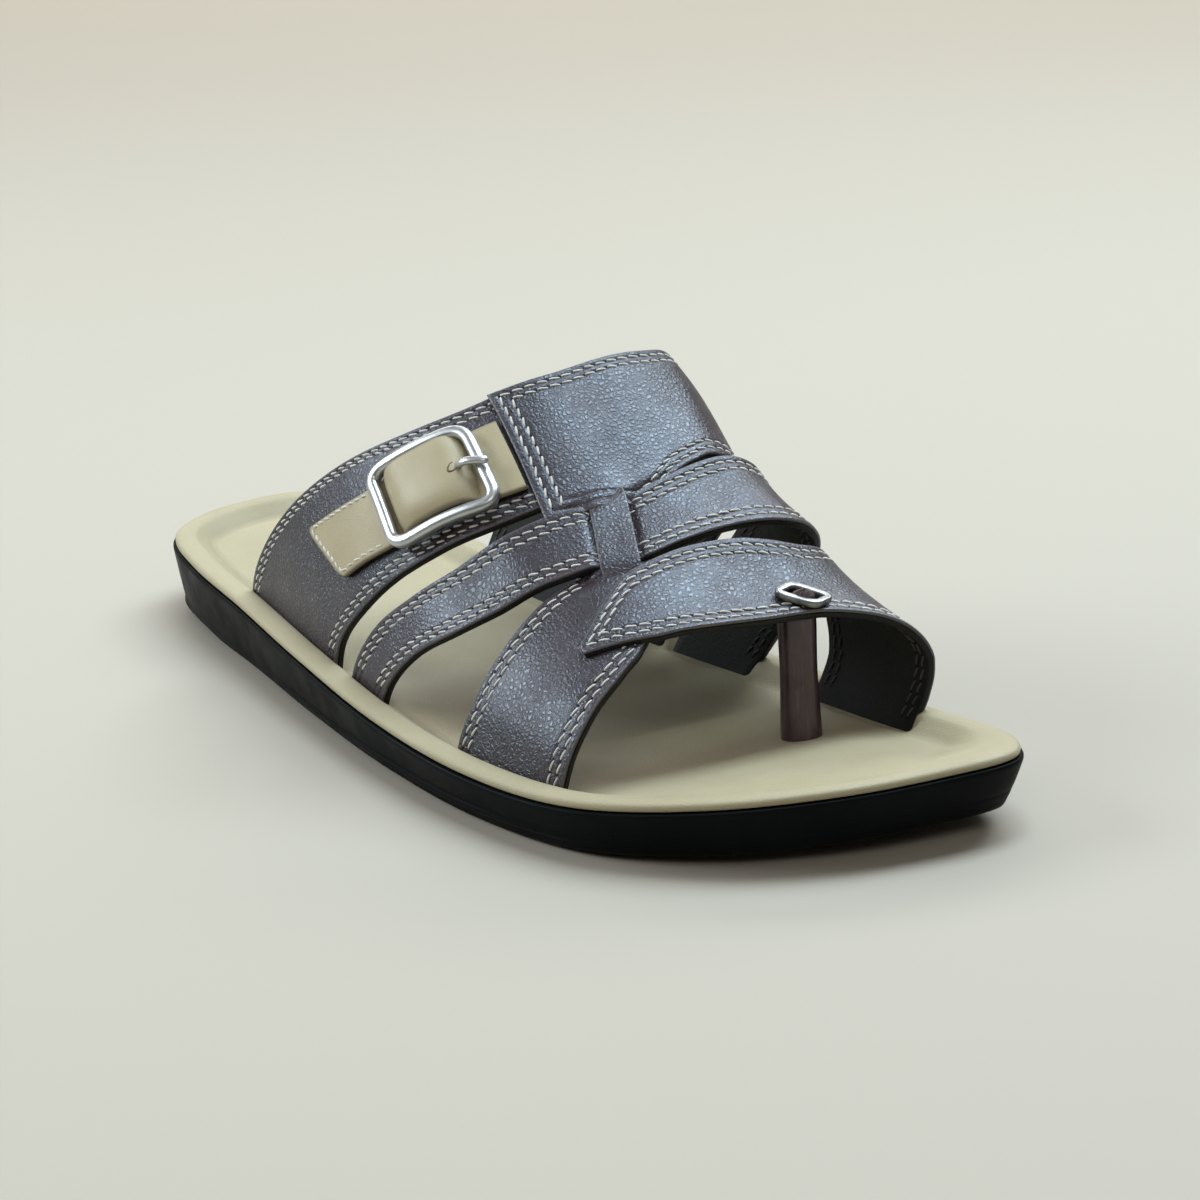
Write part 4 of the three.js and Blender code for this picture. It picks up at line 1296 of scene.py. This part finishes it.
def makeToePost():
    cfg = toePost
    s = np.linspace(0, 1, cfg["levels"])[:, None]
    angle = circle(cfg["around"])
    turn = np.abs((angle + cfg["seamTwist"] * s - cfg["seamAt"] + math.pi) % (2 * math.pi) - math.pi)
    radius = cfg["radius"] + cfg["flare"] * (1 - s) ** 4 + cfg["swell"] * np.sin(7 * s + 1)
    radius = radius - cfg["seamDepth"] * np.exp(-((turn / cfg["seamWide"]) ** 2))
    radius = radius + cfg["lobe"] * np.sin(3 * angle + 2 * s)
    x = mixed(cfg["base"][0], cfg["top"][0], s) + radius * np.cos(angle)
    y = mixed(cfg["base"][1], cfg["top"][1], s) + radius * np.sin(angle)
    foot = rimZ(x) - footbed["dishDepth"] - cfg["sunk"]
    t = tAtY(x, y)
    head = lastPoint(x, t)[..., 2] + toeLift(t) + cfg["headRise"]
    rows = np.stack([x, y, mixed(foot, head, s)], axis=-1)
    piece = makeSweep("toe_post_tube", rows, False, postLeather)
    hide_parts("toe_post")


toeRing = {
    "corners": [(76.8, 0.504), (75.7, 0.535), (82.6, 0.575), (83.8, 0.539)],
    "round": 0.3, "cornerPoints": 16, "sidePoints": 14,
    "radius": 0.92, "gap": 0.2, "around": 20, "power": 3.6,
    "knobScale": 0.53, "knobHigh": 2.9, "knobSunk": 0.2, "knobRings": 14,
    "lump": 0.09, "lumps": 5, "tPerMm": 0.02,
}


def makeToeRing():
    cfg = toeRing
    path = roundedPath(cfg["corners"], cfg["round"], cfg["cornerPoints"], cfg["sidePoints"])
    r = cfg["radius"]
    lift = toeLift(path[:, 1]) + leatherStrap["thick"] + cfg["gap"] + r
    rows = sweepRows(path, lift, r, r, cfg["around"], True, cfg["power"])
    ring = makeSweep("toe_ring_wire", rows, True, dullSteel)
    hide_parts("toe_ring")
    middle = path.mean(axis=0)
    dome = np.cos(np.linspace(0, math.pi / 2, cfg["knobRings"] + 1)[:-1])
    rows = []
    for share in (1.0, *dome, 0.03):
        x, t = mixed(middle, path, cfg["knobScale"] * share).T
        turn = np.arctan2(t - middle[1], cfg["tPerMm"] * (x - middle[0]))
        lumpy = 1 + cfg["lump"] * np.sin(cfg["lumps"] * turn + 1)
        height = cfg["knobHigh"] * math.sqrt(1 - share**2) * lumpy
        if not rows:
            height = height - cfg["knobSunk"]
        rows.append(above(x, t, toeLift(t) + leatherStrap["thick"] + height))
    knob = makeSweep("toe_knob", np.array(rows), False, knobLeather)
    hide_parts("toe_post_head")


makeToePost()
makeToeRing()
print("toe post and ring made")

# Studio

studio = {
    "azimuth": 53.6, "elevation": 18.8, "roll": -1.8,
    "distance": 753, "aim": (18.2, 26.8), "lens": 90.15,
    "floorColour": (0.43, 0.4, 0.338),
    "floorRings": [(0.5, 0), (3, 0), (3.6, 0.12), (4, 1)], "floorAround": 96,  # metres
    "sky": [(0, 0.05), (0.2, 0.16), (0.42, 0.5), (0.7, 0.85), (1, 1)],  # brightness by height
    "skyColour": (1.0, 0.96, 0.9), "skyPower": 0.27,
    "lights": {  # place as right, away and up from the shoe, turn of its long side from right to away
        "overhead": {
            "place": (0.4, 0.33, 1.25), "turn": 30, "size": (1.4, 0.46),
            "power": 25, "colour": (0.77, 0.9, 1.0),
        },
        "left_window": {
            "place": (-1.15, 0.14, 0.66), "turn": 90, "size": (0.9, 0.5),
            "power": 12, "colour": (0.86, 0.94, 1.0),
        },
        "front": {
            "place": (-0.1, -1.1, 1.0), "turn": 0, "size": (0.8, 0.5),
            "power": 3, "colour": (1.0, 0.97, 0.92),
        },
        "backdrop": {
            "place": (0.1, 2.0, 1.3), "turn": 0, "size": (3.0, 1.0),
            "power": 40, "colour": (1.0, 0.97, 0.92), "down": True,
        },
    },
}


def viewAxes():
    cfg = studio
    az, el, roll = (math.radians(cfg[k]) for k in ("azimuth", "elevation", "roll"))
    back = Vector((math.sin(az) * math.cos(el), -math.cos(az) * math.cos(el), math.sin(el)))
    right = Vector((math.cos(az), math.sin(az), 0))
    up = back.cross(right)
    c, s = math.cos(roll), math.sin(roll)
    return c * right + s * up, c * up - s * right, back


def makeCamera():
    cfg = studio
    right, up, back = viewAxes()
    place = back * cfg["distance"] + right * cfg["aim"][0] + up * cfg["aim"][1]
    camera = addObject("camera", bpy.data.cameras.new("camera"))
    camera.data.lens = cfg["lens"]
    camera.data.sensor_width = 36
    camera.data.clip_start = 0.01
    axes = Matrix((right, up, back)).transposed().to_4x4()
    camera.matrix_world = Matrix.Translation(toFrame(place)) @ axes
    bpy.context.scene.camera = camera


def makeFloor():
    # level under the shoe, turned up far from it
    cfg = studio
    count = cfg["floorAround"]
    points = [(0, 0, 0)]
    for radius, height in cfg["floorRings"]:
        points += [(radius * math.cos(a), radius * math.sin(a), height) for a in circle(count)]
    faces = [[0, 1 + k, 1 + (k + 1) % count] for k in range(count)]
    faces += (ringFaces(len(cfg["floorRings"]), count)[:, ::-1] + 1).tolist()
    mesh = bpy.data.meshes.new("floor")
    mesh.from_pydata(points, [], faces)
    mesh.shade_smooth()
    f = Finish("pale_floor")
    mesh.materials.append(f.set(Base_Color=cfg["floorColour"], Roughness=0.62, Specular_IOR_Level=0.25))
    floor = addObject("floor", mesh)


def softLight(name, place, turn, size, power, colour, down=False):
    right, _, back = viewAxes()
    side = Vector((right.x, right.y, 0)).normalized()
    away = -Vector((back.x, back.y, 0)).normalized()
    light = bpy.data.lights.new(name, "AREA")
    light.shape = "RECTANGLE"
    light.size, light.size_y = size
    light.energy = power
    light.color = colour
    at = side * place[0] + away * place[1] + Vector((0, 0, place[2]))
    toward = Vector((0, 0, 1)) if down else (at - Vector((0, 0, 0.03))).normalized()
    run = side * math.cos(math.radians(turn)) + away * math.sin(math.radians(turn))
    long = (run - toward * run.dot(toward)).normalized()
    axes = Matrix((long, toward.cross(long), toward)).transposed().to_4x4()
    addObject(name, light).matrix_world = Matrix.Translation(at) @ axes


def makeSky():
    world = bpy.data.worlds.new("soft_room")
    bpy.context.scene.world = world
    world.use_nodes = True
    sky = Nodes(world.node_tree)
    way = sky.add("ShaderNodeTexCoord", out="Generated")
    height = sky.add("ShaderNodeSeparateXYZ", None, {0: way}, "Z")
    stops = [(at, [level * c for c in studio["skyColour"]]) for at, level in studio["sky"]]
    background = sky.tree.nodes["Background"].inputs
    sky.feed(background["Color"], sky.add("ShaderNodeValToRGB", {"stops": stops}, {0: height}, "Color"))
    sky.feed(background["Strength"], studio["skyPower"])


makeCamera()
makeFloor()
makeSky()
for name, light in studio["lights"].items():
    softLight(name, **light)
bpy.context.scene.view_settings.view_transform = "Standard"
print("studio made")
